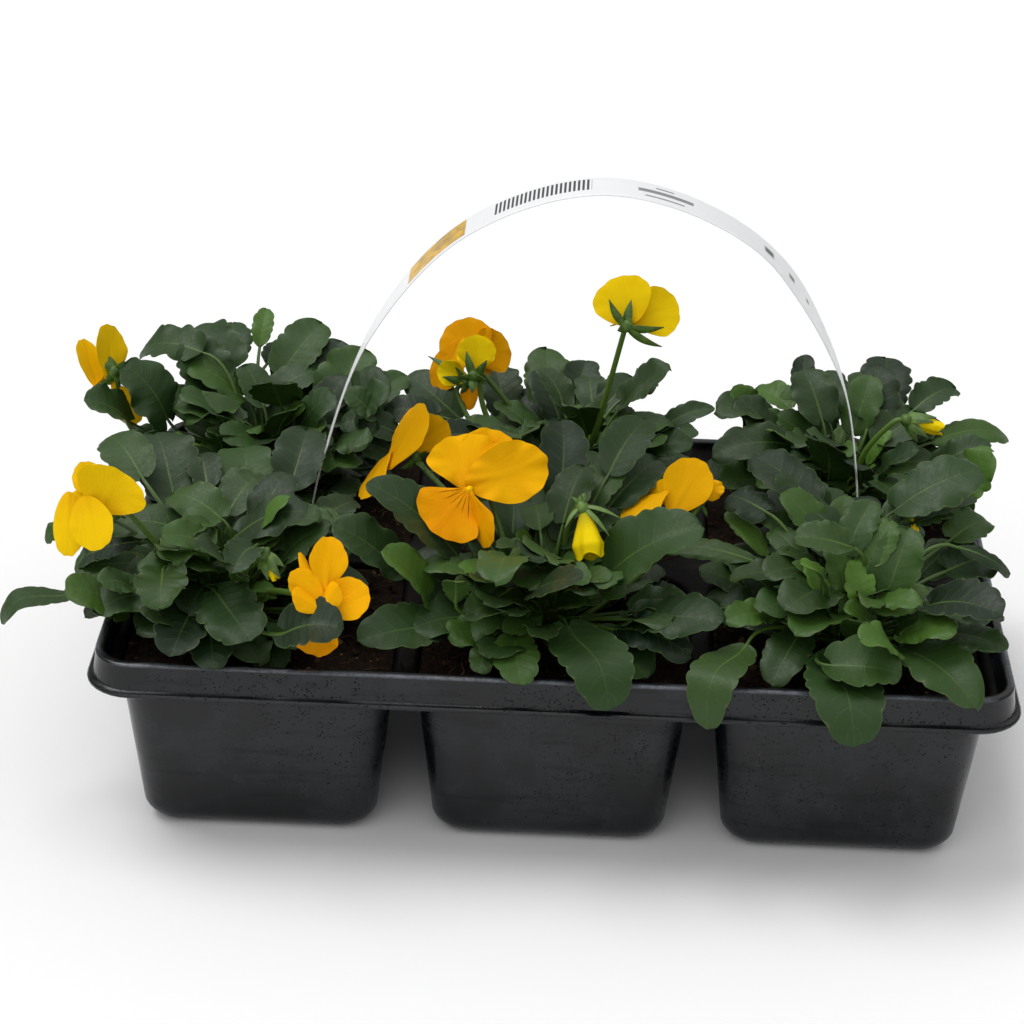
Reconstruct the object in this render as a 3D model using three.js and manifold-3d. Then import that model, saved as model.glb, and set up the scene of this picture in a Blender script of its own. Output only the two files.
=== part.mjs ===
// A carry pack of bedding plants: six young pansies with golden-yellow flowers in a black
// thermoformed tray of six square cells, with a thin white plastic strap to carry it by.
// Millimetres, +Z up, +X along the tray to the right, +Y to the back. Every place below is measured
// from the centre of the tray at the level it stands on.
import * as THREE from "three";
import { mergeVertices } from "three/addons/utils/BufferGeometryUtils.js";
import Module from "manifold-3d";

const wasm = await Module();
wasm.setup();

const GAP = 0.3; // between pieces that touch

// Tray
const TRAY_LENGTH = 290;
const TRAY_WIDTH = 182;
const TRAY_HEIGHT = 66;
const TRAY_CORNER = 14;
const WALL = 0.8;
const DECK_LEVEL = 60; // the web between the cells, below the rim
const SKIRT_HEIGHT = 10.5;
const DECK_INSET = 5.2; // from the skirt's lower edge to the edge of the web

// Cells, three along the tray and two across it
const COLUMNS = [-93.3, 0, 93.3];
const COLUMN_NAMES = ["left", "middle", "right"];
const ROWS = [-44.3, 44.3]; // front and back
const CELL_LENGTH = 87.5;
const CELL_WIDTH = 80.6;
const CELL_CORNER = 12;
const CELL_TAPER = 5.5; // how far each wall leans in from top to bottom
const CELL_FILLET = 8; // round the bottom
const DRAIN_RADIUS = 4;

// Soil
const SOIL_LEVEL = 58;
const SOIL_MOUND = 1; // the middle above the edge
const SOIL_SHOULDER = 14; // from the edge in to the flat middle
const SOIL_FOOT = { inset: 2.4, rise: 2 }; // the worn lower edge of the root ball

// Carrying strap, in the plane between the two rows: [x, z] along its arch
const STRAP_ROUTE = [
  [-86, 60], [-79, 97], [-63, 145], [-34, 181], [12, 195], [59, 178], [87, 138], [97, 97], [99, 60],
];
const STRAP_WIDTH = 14.6;
const STRAP_THICKNESS = 0.6;
const STRAP_TAIL = 5; // width of the tail below the shoulder
const SHOULDER_LEVEL = 104;
const SHOULDER_BLEND = 8;
const STRAP_STEPS = 28;
const BARB = { neck: 2.5, widest: 3.5, point: 11, width: 7.6, blunt: 2 }; // arrowhead under the web
const SLOT = { across: 6, along: 2 };

// Plants
const PETIOLE_RADIUS = 1.1;
const PETIOLE_IN_BLADE = 0.12; // how far the stalk runs on under the blade, as a share of its length
const CROWN_RADIUS = 5;
const CROWN_HEIGHT = 5;
const BLADE_THICKNESS = 1;
const STEM_RADIUS = 1.2;
const STEM_STEPS = 4;

// Each leaf: direction of its stalk from the crown in degrees, reach of the stalk, height of the blade's
// base above the soil, turn of the blade from the stalk in degrees, slope of the blade in degrees,
// length, width and, where it isn't the usual one, how far the blade arches up off its chord.
const PLANTS = [
  {
    name: "front_left",
    crown: [-106, -43],
    leaves: [
      [-160, 50, 14, 5, -15, 24, 13, 5], [-150, 37, 12, 5, 35, 21, 18], [-120, 33, 30, 35, -5, 17, 17],
      [175, 29, 24, -5, -20, 17, 12], [-80, 24, 27, -35, 50, 24, 18], [-90, 26, 23, 30, -5, 30, 24],
      [-105, 28, 18, 5, -10, 24, 18], [-95, 28, 12, 15, -5, 22, 15], [-45, 26, 13, 10, 25, 26, 18],
      [130, 32, 30, -20, 25, 30, 23], [145, 37, 38, -20, 15, 24, 17], [110, 28, 32, -5, 20, 18, 12],
      [85, 26, 28, 10, 25, 26, 20], [60, 34, 32, 20, 30, 28, 20], [75, 33, 34, 50, -10, 17, 10],
      [40, 26, 17, -15, -5, 24, 17], [120, 29, 16, -40, 5, 18, 13], [35, 33, 25, 10, 15, 17, 12],
    ],
  },
  {
    name: "front_middle",
    crown: [-3, -44],
    leaves: [
      [180, 29, 25, 0, 45, 38, 19], [-160, 40, 15, 5, 60, 26, 16], [-150, 38, 10, 5, 10, 30, 18],
      [-175, 48, 21, 5, 45, 27, 18], [-130, 27, 9, -10, 20, 17, 16], [-108, 30, 12, 25, -15, 21, 15],
      [-75, 26, 15, 10, -22, 34, 24, 8], [105, 22, 12, -15, 35, 22, 12], [-100, 27, 27, 50, 35, 28, 14],
      [-110, 19, 20, -25, 15, 25, 14], [85, 26, 31, 5, 40, 34, 17], [65, 33, 29, 30, 25, 28, 13],
      [55, 32, 44, 5, 25, 26, 16], [50, 29, 34, 5, 15, 28, 16], [-15, 18, 21, 5, 42, 42, 25],
      [-30, 32, 14, 0, 18, 34, 18], [-40, 28, 11, 5, 8, 28, 15],
    ],
  },
  {
    name: "front_right",
    crown: [92, -46],
    leaves: [
      [-145, 40, 11, 30, -28, 30, 15, 8], [-100, 28, 12, 18, -20, 37, 24, 8],
      [-100, 30, 13, 45, 20, 26, 18], [-55, 27, 12, 0, 2, 36, 20], [-70, 37, 18, -60, 40, 20, 14],
      [-55, 27, 16, 10, 30, 24, 13], [-35, 30, 25, -10, 22, 28, 19], [-35, 36, 17, -10, 15, 24, 12],
      [15, 34, 24, 15, 5, 18, 18], [10, 35, 34, 0, -28, 22, 7], [50, 24, 43, -20, 15, 34, 22],
      [55, 21, 37, -25, 2, 30, 17], [45, 20, 35, -15, 12, 34, 9], [55, 25, 14, 15, 28, 26, 17],
      [65, 22, 21, 0, 25, 18, 12], [85, 24, 24, -20, 30, 22, 12], [90, 26, 35, 25, -5, 18, 12],
      [120, 31, 22, -25, 30, 26, 16], [115, 22, 39, 20, 15, 30, 17], [85, 23, 25, 40, -10, 27, 14],
      [145, 30, 22, -10, 30, 21, 8], [-115, 21, 27, -15, 60, 21, 9], [-150, 28, 18, 0, 10, 17, 11],
      [170, 29, 26, -5, 0, 32, 9], [-65, 19, 25, 15, 30, 18, 10],
    ],
  },
  {
    name: "back_left",
    crown: [-104, 46],
    leaves: [
      [-10, 31, 30, -10, 55, 21, 17], [25, 38, 25, 20, 30, 20, 13], [-165, 47, 31, 15, 40, 19, 17],
      [145, 29, 45, 10, -5, 26, 18], [-170, 34, 30, -10, 60, 24, 22], [120, 30, 36, -25, 25, 22, 15],
      [0, 26, 28, 10, 50, 24, 22], [60, 24, 20, -20, 10, 22, 14], [100, 24, 24, -35, 5, 20, 13],
      [-130, 26, 12, 20, 60, 32, 15], [-160, 30, 24, 5, -10, 20, 13], [60, 31, 14, 25, 25, 20, 14],
    ],
  },
  {
    name: "back_middle",
    crown: [2, 48],
    leaves: [
      [160, 42, 24, -20, 20, 26, 16], [175, 46, 27, -10, 0, 19, 14], [135, 34, 22, -30, 30, 22, 16],
      [110, 28, 25, -20, 35, 24, 17], [85, 24, 25, -5, 35, 20, 14], [60, 22, 27, -5, 22, 20, 14],
      [10, 29, 24, 0, 28, 24, 9], [140, 24, 22, 0, -10, 18, 14], [95, 22, 18, -35, 5, 20, 12],
      [70, 20, 20, -10, 20, 21, 12], [-15, 24, 22, 10, 20, 20, 13], [-165, 30, 26, 10, 15, 20, 14],
      [30, 30, 14, 0, 15, 22, 15],
    ],
  },
  {
    name: "back_right",
    crown: [94, 46],
    leaves: [
      [-150, 14, 28, -10, 10, 32, 17], [-100, 21, 24, -10, 60, 27, 19], [165, 30, 28, 0, 65, 17, 13],
      [130, 24, 32, 5, 5, 17, 12], [110, 30, 29, -25, 45, 20, 9], [85, 24, 26, 15, 30, 22, 14],
      [55, 32, 30, 30, 30, 24, 19], [30, 32, 34, 5, 18, 20, 13], [15, 35, 25, 12, 0, 34, 12],
      [-15, 42, 18, 0, 65, 22, 18], [60, 28, 17, 30, 15, 21, 14], [-45, 21, 22, 5, 55, 20, 13],
      [-10, 34, 23, 0, 35, 21, 13], [-75, 26, 27, -30, 45, 18, 12],
    ],
  },
];
const BLADE_ARCH = 0.08; // the usual arch, as a share of the length
const LEAF_LIFTS = [0, 3, 6, 10, -4, 15]; // places tried for a leaf that meets another piece
const LEAF_SWINGS = [0, 4, -4, 8, -8, 13, -13, 19, -19];

// Each flower: the plant it grows from, where its throat is, the way it faces (compass direction and
// slope in degrees), the roll of its face, its petals' length and how far they open (0 a tight bud,
// 1 wide), and points that its stem passes.
const FLOWERS = [
  {
    name: "far_left", plant: "back_left", at: [-158, 40, 105], faces: [195, 10], roll: 0,
    petal: 19, open: 0.9, stem: [[-150, 43, 100], [-128, 47, 82]],
  },
  {
    name: "left", plant: "front_left", at: [-143, -53, 101], faces: [-130, 15], roll: -20,
    petal: 20, open: 0.9, stem: [[-136, -50, 98], [-122, -45, 76]],
  },
  {
    name: "low_left", plant: "front_left", at: [-72, -79, 88], faces: [-80, 40], roll: 0,
    petal: 17, open: 0.7, stem: [[-78, -73, 84], [-93, -58, 76]],
  },
  {
    name: "back_orange", plant: "back_middle", at: [-34, 76, 104], faces: [100, 15], roll: 0,
    petal: 20, open: 0.9, stem: [[-32, 70, 100], [-13, 64, 78]],
  },
  {
    name: "half_open_upper", plant: "back_middle", at: [-32, 58, 110], faces: [-80, 70], roll: 0,
    petal: 10, open: 0.6, stem: [[-31, 61, 102], [-12, 53, 78]],
  },
  {
    name: "half_open_lower", plant: "back_middle", at: [-45, 62, 101], faces: [-160, 30], roll: 0,
    petal: 9, open: 0.5, stem: [[-39, 60, 95], [-15, 44, 76]],
  },
  {
    name: "side_middle", plant: "front_middle", at: [-53, -4, 104], faces: [160, 45], roll: 0,
    petal: 20, open: 0.75, stem: [[-46, -6, 97], [-20, -22, 76]],
  },
  {
    name: "face_middle", plant: "front_middle", at: [-29, -40, 106], faces: [-95, 25], roll: 30,
    petal: 22, open: 1, stem: [[-24, -32, 103], [-15, -42, 80]],
  },
  {
    name: "tall", plant: "back_middle", at: [22, 26, 144], faces: [60, 35], roll: 0,
    petal: 19, open: 0.8, stem: [[19, 24, 137], [12, 32, 100], [7, 42, 75]],
  },
  {
    name: "right_middle", plant: "front_middle", at: [37, -20, 96], faces: [170, 40], roll: 0,
    petal: 20, open: 0.8, stem: [[44, -20, 92], [28, -32, 76]],
  },
  {
    name: "nodding_bud", plant: "front_middle", at: [9, -47, 100], faces: [-80, -70], roll: 0,
    petal: 13, open: 0.25, stem: [[7, -43, 107], [2, -37, 90]],
  },
  {
    name: "right_bud", plant: "back_right", at: [119, 42, 97], faces: [-10, -5], roll: 0,
    petal: 12, open: 0.2, stem: [[112, 42, 97], [103, 44, 82]],
  },
  {
    name: "left_bud", plant: "front_left", at: [-88, -72, 92], faces: [-90, -50], roll: 0,
    petal: 8, open: 0.1, stem: [[-91, -66, 95], [-103, -57, 77]],
  },
  {
    name: "hidden_bud", plant: "front_right", at: [113, -30, 95], faces: [-60, 20], roll: 0,
    petal: 8, open: 0.1, stem: [[109, -33, 90], [99, -40, 76]],
  },
];
// Round the face: two upper petals at the back, two side ones on them and the broad lip in front
const PETALS = [
  { angle: 28, layer: -1, broad: 1 },
  { angle: -28, layer: -2, broad: 1 },
  { angle: 98, layer: 0, broad: 0.9 },
  { angle: -98, layer: 0, broad: 0.9 },
  { angle: 180, layer: 1, broad: 1.15 },
];
const PETAL_LAYER = 0.75; // how far a petal lies in front of the next
const PETAL_THICKNESS = 0.7;
const PETAL_START = 0.3; // from the middle of the throat
const FURLED_SIDES = 7;
const THROAT_RADIUS = 2.2;
const CALYX_RADIUS = 2.3;
const CALYX_END = { share: 0.6, along: 0.8 }; // of the radius, where the knob of the calyx rounds off
const CALYX_DEPTH = THROAT_RADIUS + CALYX_RADIUS + 0.2; // from the throat back to the middle of the calyx
const SEPALS = 5;
const SEPAL_LENGTH = 9; // of a flower whose petals are FULL_PETAL long or more
const FULL_PETAL = 13;
const STEM_FOOT = 9.5; // from the crown's centre
const FOLD_OF_SHUT = 80; // degrees that the petals of a shut flower lean forward
const FURLED_BELOW = 0.4; // a flower less open than this is a bud with furled petals
const FURLED_PROFILE = [[0, 0], [0.2, 0.12], [0.27, 0.5], [0.2, 0.88], [0, 1]];

const COLOURS = {
  tray: { color: 0x25282b, roughness: 0.38 },
  soil: { color: 0x3a2a20, roughness: 1 },
  strap: { color: 0xe9eaec, roughness: 0.45 },
  leaf: { color: 0x2f5a2c, roughness: 0.55 },
  stem: { color: 0x5c8a35, roughness: 0.55 },
  petal: { color: 0xf2b300, roughness: 0.6 },
};

const group = new THREE.Group();

function solidOf(geometry) {
  const plain = geometry.clone();
  plain.deleteAttribute("normal");
  plain.deleteAttribute("uv");
  const merged = mergeVertices(plain, 1e-4);
  return new wasm.Manifold(
    new wasm.Mesh({
      numProp: 3,
      vertProperties: new Float32Array(merged.attributes.position.array),
      triVerts: new Uint32Array(merged.index.array),
    }),
  );
}

function geometryOf(solid) {
  const mesh = solid.getMesh();
  const geometry = new THREE.BufferGeometry();
  geometry.setAttribute("position", new THREE.BufferAttribute(mesh.vertProperties, 3));
  geometry.setIndex(new THREE.BufferAttribute(mesh.triVerts, 1));
  geometry.computeVertexNormals();
  return geometry;
}

function addPiece(name, solid, look) {
  const mesh = new THREE.Mesh(geometryOf(solid), new THREE.MeshStandardMaterial(look));
  mesh.name = name;
  group.add(mesh);
}

// A closed skin over a stack of loops, each with the same number of points and counter-clockwise
// seen from the far end. The ends close on the two tips, or the last loop joins the first.
function skin(loops, tips) {
  const count = loops[0].length;
  const points = loops.flat();
  const triangles = [];
  const bands = tips ? loops.length - 1 : loops.length;
  for (let i = 0; i < bands; i++) {
    const near = i * count;
    const far = ((i + 1) % loops.length) * count;
    for (let j = 0; j < count; j++) {
      const k = (j + 1) % count;
      triangles.push(near + j, near + k, far + k, near + j, far + k, far + j);
    }
  }
  if (tips) {
    const last = (loops.length - 1) * count;
    const start = points.length;
    points.push(...tips);
    for (let j = 0; j < count; j++) {
      const k = (j + 1) % count;
      triangles.push(start, k, j, start + 1, last + j, last + k);
    }
  }
  const geometry = new THREE.BufferGeometry().setFromPoints(points);
  geometry.setIndex(triangles);
  return solidOf(geometry);
}

// A rounded rectangle at height z, as a loop of points
function roundedLoop(centre, length, width, radius, z) {
  const steps = 3;
  const loop = [];
  for (let corner = 0; corner < 4; corner++) {
    const sx = corner === 0 || corner === 3 ? 1 : -1;
    const sy = corner < 2 ? 1 : -1;
    for (let i = 0; i <= steps; i++) {
      const angle = ((corner + i / steps) * Math.PI) / 2;
      loop.push(new THREE.Vector3(
        centre[0] + sx * (length / 2 - radius) + radius * Math.cos(angle),
        centre[1] + sy * (width / 2 - radius) + radius * Math.sin(angle),
        z,
      ));
    }
  }
  return loop;
}

// ---- tray ----

function trayLoop(inset, z) {
  return roundedLoop([0, 0], TRAY_LENGTH - 2 * inset, TRAY_WIDTH - 2 * inset, TRAY_CORNER - inset, z);
}

// The rolled rim: down-turned skirt outside, round top and a short wall inside down to the web
function rim() {
  const foot = TRAY_HEIGHT - SKIRT_HEIGHT;
  const inner = DECK_INSET + WALL / 2;
  const section = [
    [0, foot],
    [0.2, foot + 1],
    [1.4, TRAY_HEIGHT - 2.4],
    [2.2, TRAY_HEIGHT - 0.5],
    [3.2, TRAY_HEIGHT],
    [4.4, TRAY_HEIGHT - 0.6],
    [inner, DECK_LEVEL - WALL / 2],
    [inner - WALL, DECK_LEVEL - WALL / 2],
    [3.9, TRAY_HEIGHT - 1.5],
    [3.1, TRAY_HEIGHT - WALL],
    [2.4, TRAY_HEIGHT - 1.2],
    [WALL, foot],
  ];
  return skin(section.map(([inset, z]) => trayLoop(inset, z)));
}

function cellLoop(centre, inset, z) {
  const radius = Math.max(CELL_CORNER - inset * 0.3, 1);
  return roundedLoop(centre, CELL_LENGTH - 2 * inset, CELL_WIDTH - 2 * inset, radius, z);
}

// One wall face of a cup from the web down to where its bottom fillet meets the floor, `lift` thicker
function cupFace(centre, lift) {
  const top = DECK_LEVEL - WALL / 2;
  const radius = CELL_FILLET - lift;
  const loops = [cellLoop(centre, lift, top)];
  for (const degrees of [0, 45, 90]) {
    const angle = THREE.MathUtils.degToRad(degrees);
    const inset = CELL_TAPER + lift + radius * (1 - Math.cos(angle));
    loops.push(cellLoop(centre, inset, CELL_FILLET - radius * Math.sin(angle)));
  }
  return loops;
}

function drainLoop(centre, z) {
  return roundedLoop(centre, 2 * DRAIN_RADIUS, 2 * DRAIN_RADIUS, DRAIN_RADIUS, z);
}

// A cell with its drain hole: down the inside, through the hole and up the outside
function cup(centre) {
  const inside = cupFace(centre, WALL);
  const outside = cupFace(centre, 0).reverse();
  return skin([...inside, drainLoop(centre, WALL), drainLoop(centre, 0), ...outside]);
}

// The flat web that ties rim and cells together, with a mouth for each cell and the strap's two slots
function web() {
  const outline = new THREE.Shape(trayLoop(DECK_INSET, 0).map((p) => new THREE.Vector2(p.x, p.y)));
  for (const x of COLUMNS) {
    for (const y of ROWS) {
      outline.holes.push(new THREE.Path(cellLoop([x, y], WALL, 0).map((p) => new THREE.Vector2(p.x, p.y))));
    }
  }
  for (const [x] of [STRAP_ROUTE[0], STRAP_ROUTE.at(-1)]) {
    const slot = roundedLoop([x, 0], SLOT.along, SLOT.across, SLOT.along / 2, 0);
    outline.holes.push(new THREE.Path(slot.map((p) => new THREE.Vector2(p.x, p.y))));
  }
  const plate = new THREE.ExtrudeGeometry(outline, { depth: WALL, bevelEnabled: false });
  plate.translate(0, 0, DECK_LEVEL - WALL);
  return solidOf(plate);
}

function tray() {
  let solid = rim().add(web());
  for (const x of COLUMNS) {
    for (const y of ROWS) solid = solid.add(cup([x, y]));
  }
  return solid;
}

// ---- soil ----

// A root ball of peat that fills its cell to a little below the web
function soil(centre) {
  const clear = WALL + GAP;
  const lean = (z) => clear + (CELL_TAPER * (DECK_LEVEL - z)) / (DECK_LEVEL - CELL_FILLET);
  const top = SOIL_LEVEL + SOIL_MOUND;
  const loops = [
    cellLoop(centre, CELL_TAPER + CELL_FILLET, clear),
    cellLoop(centre, CELL_TAPER + clear + SOIL_FOOT.inset, clear + SOIL_FOOT.rise),
    cellLoop(centre, lean(CELL_FILLET), CELL_FILLET),
    cellLoop(centre, lean(SOIL_LEVEL), SOIL_LEVEL),
    cellLoop(centre, lean(SOIL_LEVEL) + SOIL_SHOULDER, top),
  ];
  return skin(loops, [clear, top].map((z) => new THREE.Vector3(...centre, z)));
}

// ---- strap ----

function strapHalfWidth(z) {
  const share = THREE.MathUtils.smoothstep(z, SHOULDER_LEVEL - SHOULDER_BLEND, SHOULDER_LEVEL);
  return THREE.MathUtils.lerp(STRAP_TAIL, STRAP_WIDTH, share) / 2;
}

function strapLoop(point, tangent, halfWidth) {
  const out = new THREE.Vector3(-tangent.z, 0, tangent.x).multiplyScalar(STRAP_THICKNESS / 2);
  const across = new THREE.Vector3(0, halfWidth, 0);
  return [
    point.clone().add(out).add(across),
    point.clone().add(out).sub(across),
    point.clone().sub(out).sub(across),
    point.clone().sub(out).add(across),
  ];
}

// The strap runs from one barb under the web, over its arch and down to the other barb
function strap() {
  const points = STRAP_ROUTE.map(([x, z]) => new THREE.Vector3(x, 0, z));
  const route = new THREE.CatmullRomCurve3(points, false, "centripetal");
  const first = points[0];
  const last = points.at(-1);
  const down = new THREE.Vector3(0, 0, -1);
  const up = new THREE.Vector3(0, 0, 1);
  const below = (point, drop) => point.clone().addScaledVector(down, drop);
  const barb = [
    [BARB.point, BARB.blunt / 2],
    [BARB.widest, BARB.width / 2],
    [BARB.neck, STRAP_TAIL / 2],
  ];
  const loops = barb.map(([drop, half]) => strapLoop(below(first, drop), up, half));
  for (let i = 0; i <= STRAP_STEPS; i++) {
    const point = route.getPointAt(i / STRAP_STEPS);
    loops.push(strapLoop(point, route.getTangentAt(i / STRAP_STEPS), strapHalfWidth(point.z)));
  }
  for (const [drop, half] of barb.reverse()) {
    loops.push(strapLoop(below(last, drop), down, half));
  }
  return skin(loops, [below(first, BARB.point), below(last, BARB.point)]);
}

// ---- leaves and petals ----

function heading(azimuth, slope) {
  const a = THREE.MathUtils.degToRad(azimuth);
  const s = THREE.MathUtils.degToRad(slope);
  return new THREE.Vector3(Math.cos(s) * Math.cos(a), Math.cos(s) * Math.sin(a), Math.sin(s));
}

// A thin blade from base along `forward`, with `normal` out of its upper side. Its half width follows
// `outline`, pairs of share along the length and share of the width, and its middle rises by `arch`.
function blade({ base, forward, normal, length, width, thickness, arch, outline }) {
  const side = new THREE.Vector3().crossVectors(normal, forward).normalize();
  const middle = (t) =>
    base.clone().addScaledVector(forward, length * t).addScaledVector(normal, arch * 4 * t * (1 - t));
  const loops = outline.map(([t, share]) => {
    const centre = middle(t);
    return [
      centre.clone().addScaledVector(side, (width * share) / 2),
      centre.clone().addScaledVector(normal, thickness / 2),
      centre.clone().addScaledVector(side, (-width * share) / 2),
      centre.clone().addScaledVector(normal, -thickness / 2),
    ];
  });
  return skin(loops, [middle(0), middle(1)]);
}

// A thin stalk with three sides through the points
function stalk(points, radius) {
  const loops = points.map((point, i) => {
    const ahead = points[Math.min(i + 1, points.length - 1)];
    const behind = points[Math.max(i - 1, 0)];
    const along = new THREE.Vector3().subVectors(ahead, behind).normalize();
    const side = new THREE.Vector3(0, 0, 1).cross(along);
    if (side.length() < 0.05) side.set(0, 1, 0);
    side.normalize();
    const over = new THREE.Vector3().crossVectors(along, side);
    return [0, 1, 2].map((k) => {
      const angle = Math.PI / 2 + (k * 2 * Math.PI) / 3;
      return point.clone()
        .addScaledVector(side, radius * Math.cos(angle))
        .addScaledVector(over, radius * Math.sin(angle));
    });
  });
  return skin(loops, [points[0], points.at(-1)]);
}

const LEAF_OUTLINE = [[0.25, 0.95], [0.75, 0.9]];
const PETAL_OUTLINE = [[0.45, 0.75], [0.85, 1]];

// One leaf on its stalk. `swing` and `lift` turn and raise it a little from its place.
function leaf([azimuth, reach, height, turn, slope, length, width, arch], crown, swing, lift) {
  const ground = SOIL_LEVEL + SOIL_MOUND;
  const start = new THREE.Vector3(...crown, ground + CROWN_HEIGHT / 2);
  const base = new THREE.Vector3(...crown, ground + height + lift);
  base.addScaledVector(heading(azimuth + swing, 0), reach);
  const azimuthOfBlade = azimuth + swing + turn;
  const forward = heading(azimuthOfBlade, slope);
  const normal = heading(azimuthOfBlade + 180, 90 - slope);
  const rise = arch ?? BLADE_ARCH * length;
  const t = PETIOLE_IN_BLADE;
  const inBlade = base.clone()
    .addScaledVector(forward, t * length)
    .addScaledVector(normal, rise * 4 * t * (1 - t));
  return blade({
    base,
    forward,
    normal,
    length,
    width,
    thickness: BLADE_THICKNESS,
    arch: rise,
    outline: LEAF_OUTLINE,
  }).add(stalk([start, inBlade], PETIOLE_RADIUS));
}

// ---- flowers ----

// The frame of a flower's face: out of the throat, up the face and across it
function faceFrame({ faces, roll }) {
  const out = heading(faces[0], faces[1]);
  const across = new THREE.Vector3().crossVectors(new THREE.Vector3(0, 0, 1), out).normalize();
  const up = new THREE.Vector3().crossVectors(out, across);
  const turn = THREE.MathUtils.degToRad(roll);
  return { out, up: up.applyAxisAngle(out, -turn), across: across.applyAxisAngle(out, -turn) };
}

// Five petals from the throat, folded forward by as much as the flower is shut
function corolla(flower) {
  const { out, up, across } = faceFrame(flower);
  const throat = new THREE.Vector3(...flower.at);
  const fold = THREE.MathUtils.degToRad(FOLD_OF_SHUT * (1 - flower.open));
  const knob = new THREE.IcosahedronGeometry(THROAT_RADIUS, 0);
  let solid = solidOf(knob.translate(throat.x, throat.y, throat.z));
  for (const { angle: degrees, layer, broad } of PETALS) {
    const angle = THREE.MathUtils.degToRad(degrees);
    const spoke = up.clone().multiplyScalar(Math.cos(angle)).addScaledVector(across, Math.sin(angle));
    const forward = spoke.clone().multiplyScalar(Math.cos(fold)).addScaledVector(out, Math.sin(fold));
    const normal = out.clone().multiplyScalar(Math.cos(fold)).addScaledVector(spoke, -Math.sin(fold));
    const base = throat.clone()
      .addScaledVector(forward, PETAL_START)
      .addScaledVector(normal, layer * PETAL_LAYER);
    solid = solid.add(blade({
      base,
      forward,
      normal,
      length: flower.petal,
      width: flower.petal * broad,
      thickness: PETAL_THICKNESS,
      arch: 0,
      outline: PETAL_OUTLINE,
    }));
  }
  return solid;
}

// The furled petals of a bud, a spindle from the throat
function furled(flower) {
  const points = FURLED_PROFILE.map(([r, t]) => new THREE.Vector2(r * flower.petal, t * flower.petal));
  const { out } = faceFrame(flower);
  const seat = new THREE.Vector3(...flower.at).addScaledVector(out, CALYX_RADIUS + GAP - CALYX_DEPTH);
  const spindle = new THREE.LatheGeometry(points, FURLED_SIDES);
  spindle.applyQuaternion(new THREE.Quaternion().setFromUnitVectors(new THREE.Vector3(0, 1, 0), out));
  return solidOf(spindle.translate(seat.x, seat.y, seat.z));
}

// The calyx behind the throat, a star of five narrow sepals round a knob
function calyxStar(flower, centre) {
  const { out, up, across } = faceFrame(flower);
  const reach = SEPAL_LENGTH * Math.min(1, flower.petal / FULL_PETAL);
  const ring = (longs, shorts, along) => {
    const loop = [];
    for (let i = 0; i < 2 * SEPALS; i++) {
      const angle = (-i * Math.PI) / SEPALS;
      const radius = i % 2 ? shorts : longs;
      loop.push(centre.clone()
        .addScaledVector(across, radius * Math.cos(angle))
        .addScaledVector(up, -radius * Math.sin(angle))
        .addScaledVector(out, along));
    }
    return loop;
  };
  const narrow = CALYX_RADIUS * CALYX_END.share;
  const loops = [
    ring(narrow, narrow, -CALYX_RADIUS * CALYX_END.along),
    ring(reach, CALYX_RADIUS, 0),
    ring(narrow, narrow, CALYX_RADIUS * CALYX_END.along),
  ];
  const tips = [-CALYX_RADIUS, CALYX_RADIUS].map((along) => centre.clone().addScaledVector(out, along));
  return skin(loops, tips);
}

// The calyx on its stem, which runs down to the soil beside the crown
function stemAndCalyx(flower, crown) {
  const { out } = faceFrame(flower);
  const calyx = new THREE.Vector3(...flower.at).addScaledVector(out, -CALYX_DEPTH);
  const route = flower.stem.map((p) => new THREE.Vector3(...p)).reverse();
  const ground = SOIL_LEVEL + SOIL_MOUND + GAP;
  const foot = new THREE.Vector3(...crown, ground);
  const towards = route[0].clone().setZ(ground).sub(foot).normalize();
  foot.addScaledVector(towards, STEM_FOOT);
  const lean = route[0].clone().sub(foot).normalize();
  foot.z += STEM_RADIUS * Math.hypot(lean.x, lean.y);
  const points = [foot, ...route, calyx];
  const path = new THREE.CatmullRomCurve3(points, false, "centripetal");
  const corners = [[1, 0], [0, 1], [-1, 0], [0, -1]];
  const section = new THREE.Shape(
    corners.map(([u, v]) => new THREE.Vector2(u * STEM_RADIUS, v * STEM_RADIUS)),
  );
  const tube = new THREE.ExtrudeGeometry(section, { steps: STEM_STEPS, extrudePath: path });
  return calyxStar(flower, calyx).add(solidOf(tube));
}

// ---- assembly ----

const standing = []; // every solid placed so far, with its box and the plant it belongs to

function place(solid, owner) {
  standing.push({ solid, owner, box: solid.boundingBox() });
}

function boxesNear(a, b) {
  return [0, 1, 2].every((i) => a.min[i] < b.max[i] + GAP && b.min[i] < a.max[i] + GAP);
}

function isClear(solid, owner) {
  const box = solid.boundingBox();
  const others = standing.filter((each) => each.owner !== owner && boxesNear(box, each.box));
  return others.every((each) => solid.minGap(each.solid, GAP) >= GAP);
}

// A leaf gives way to what stands there already: it swings round the crown, or lies a little
// higher. One that finds no clear place is left out.
function clearLeaf(shape, plant) {
  for (const lift of LEAF_LIFTS) {
    for (const swing of LEAF_SWINGS) {
      const solid = leaf(shape, plant.crown, swing, lift);
      if (isClear(solid, plant.name)) return solid;
    }
  }
  return null;
}

// The crown of a plant, a low knob on the soil, with every leaf that grows from it
function rosette(plant) {
  const knob = new THREE.IcosahedronGeometry(CROWN_RADIUS, 0);
  knob.scale(1, 1, CROWN_HEIGHT / (2 * CROWN_RADIUS));
  knob.translate(...plant.crown, SOIL_LEVEL + SOIL_MOUND + GAP + CROWN_HEIGHT / 2);
  let solid = solidOf(knob);
  for (const shape of plant.leaves) {
    const one = clearLeaf(shape, plant);
    if (one) {
      solid = solid.add(one);
      place(one, plant.name);
    }
  }
  return solid;
}

const traySolid = tray();
addPiece("tray", traySolid, COLOURS.tray);
place(traySolid, "tray");

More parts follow.
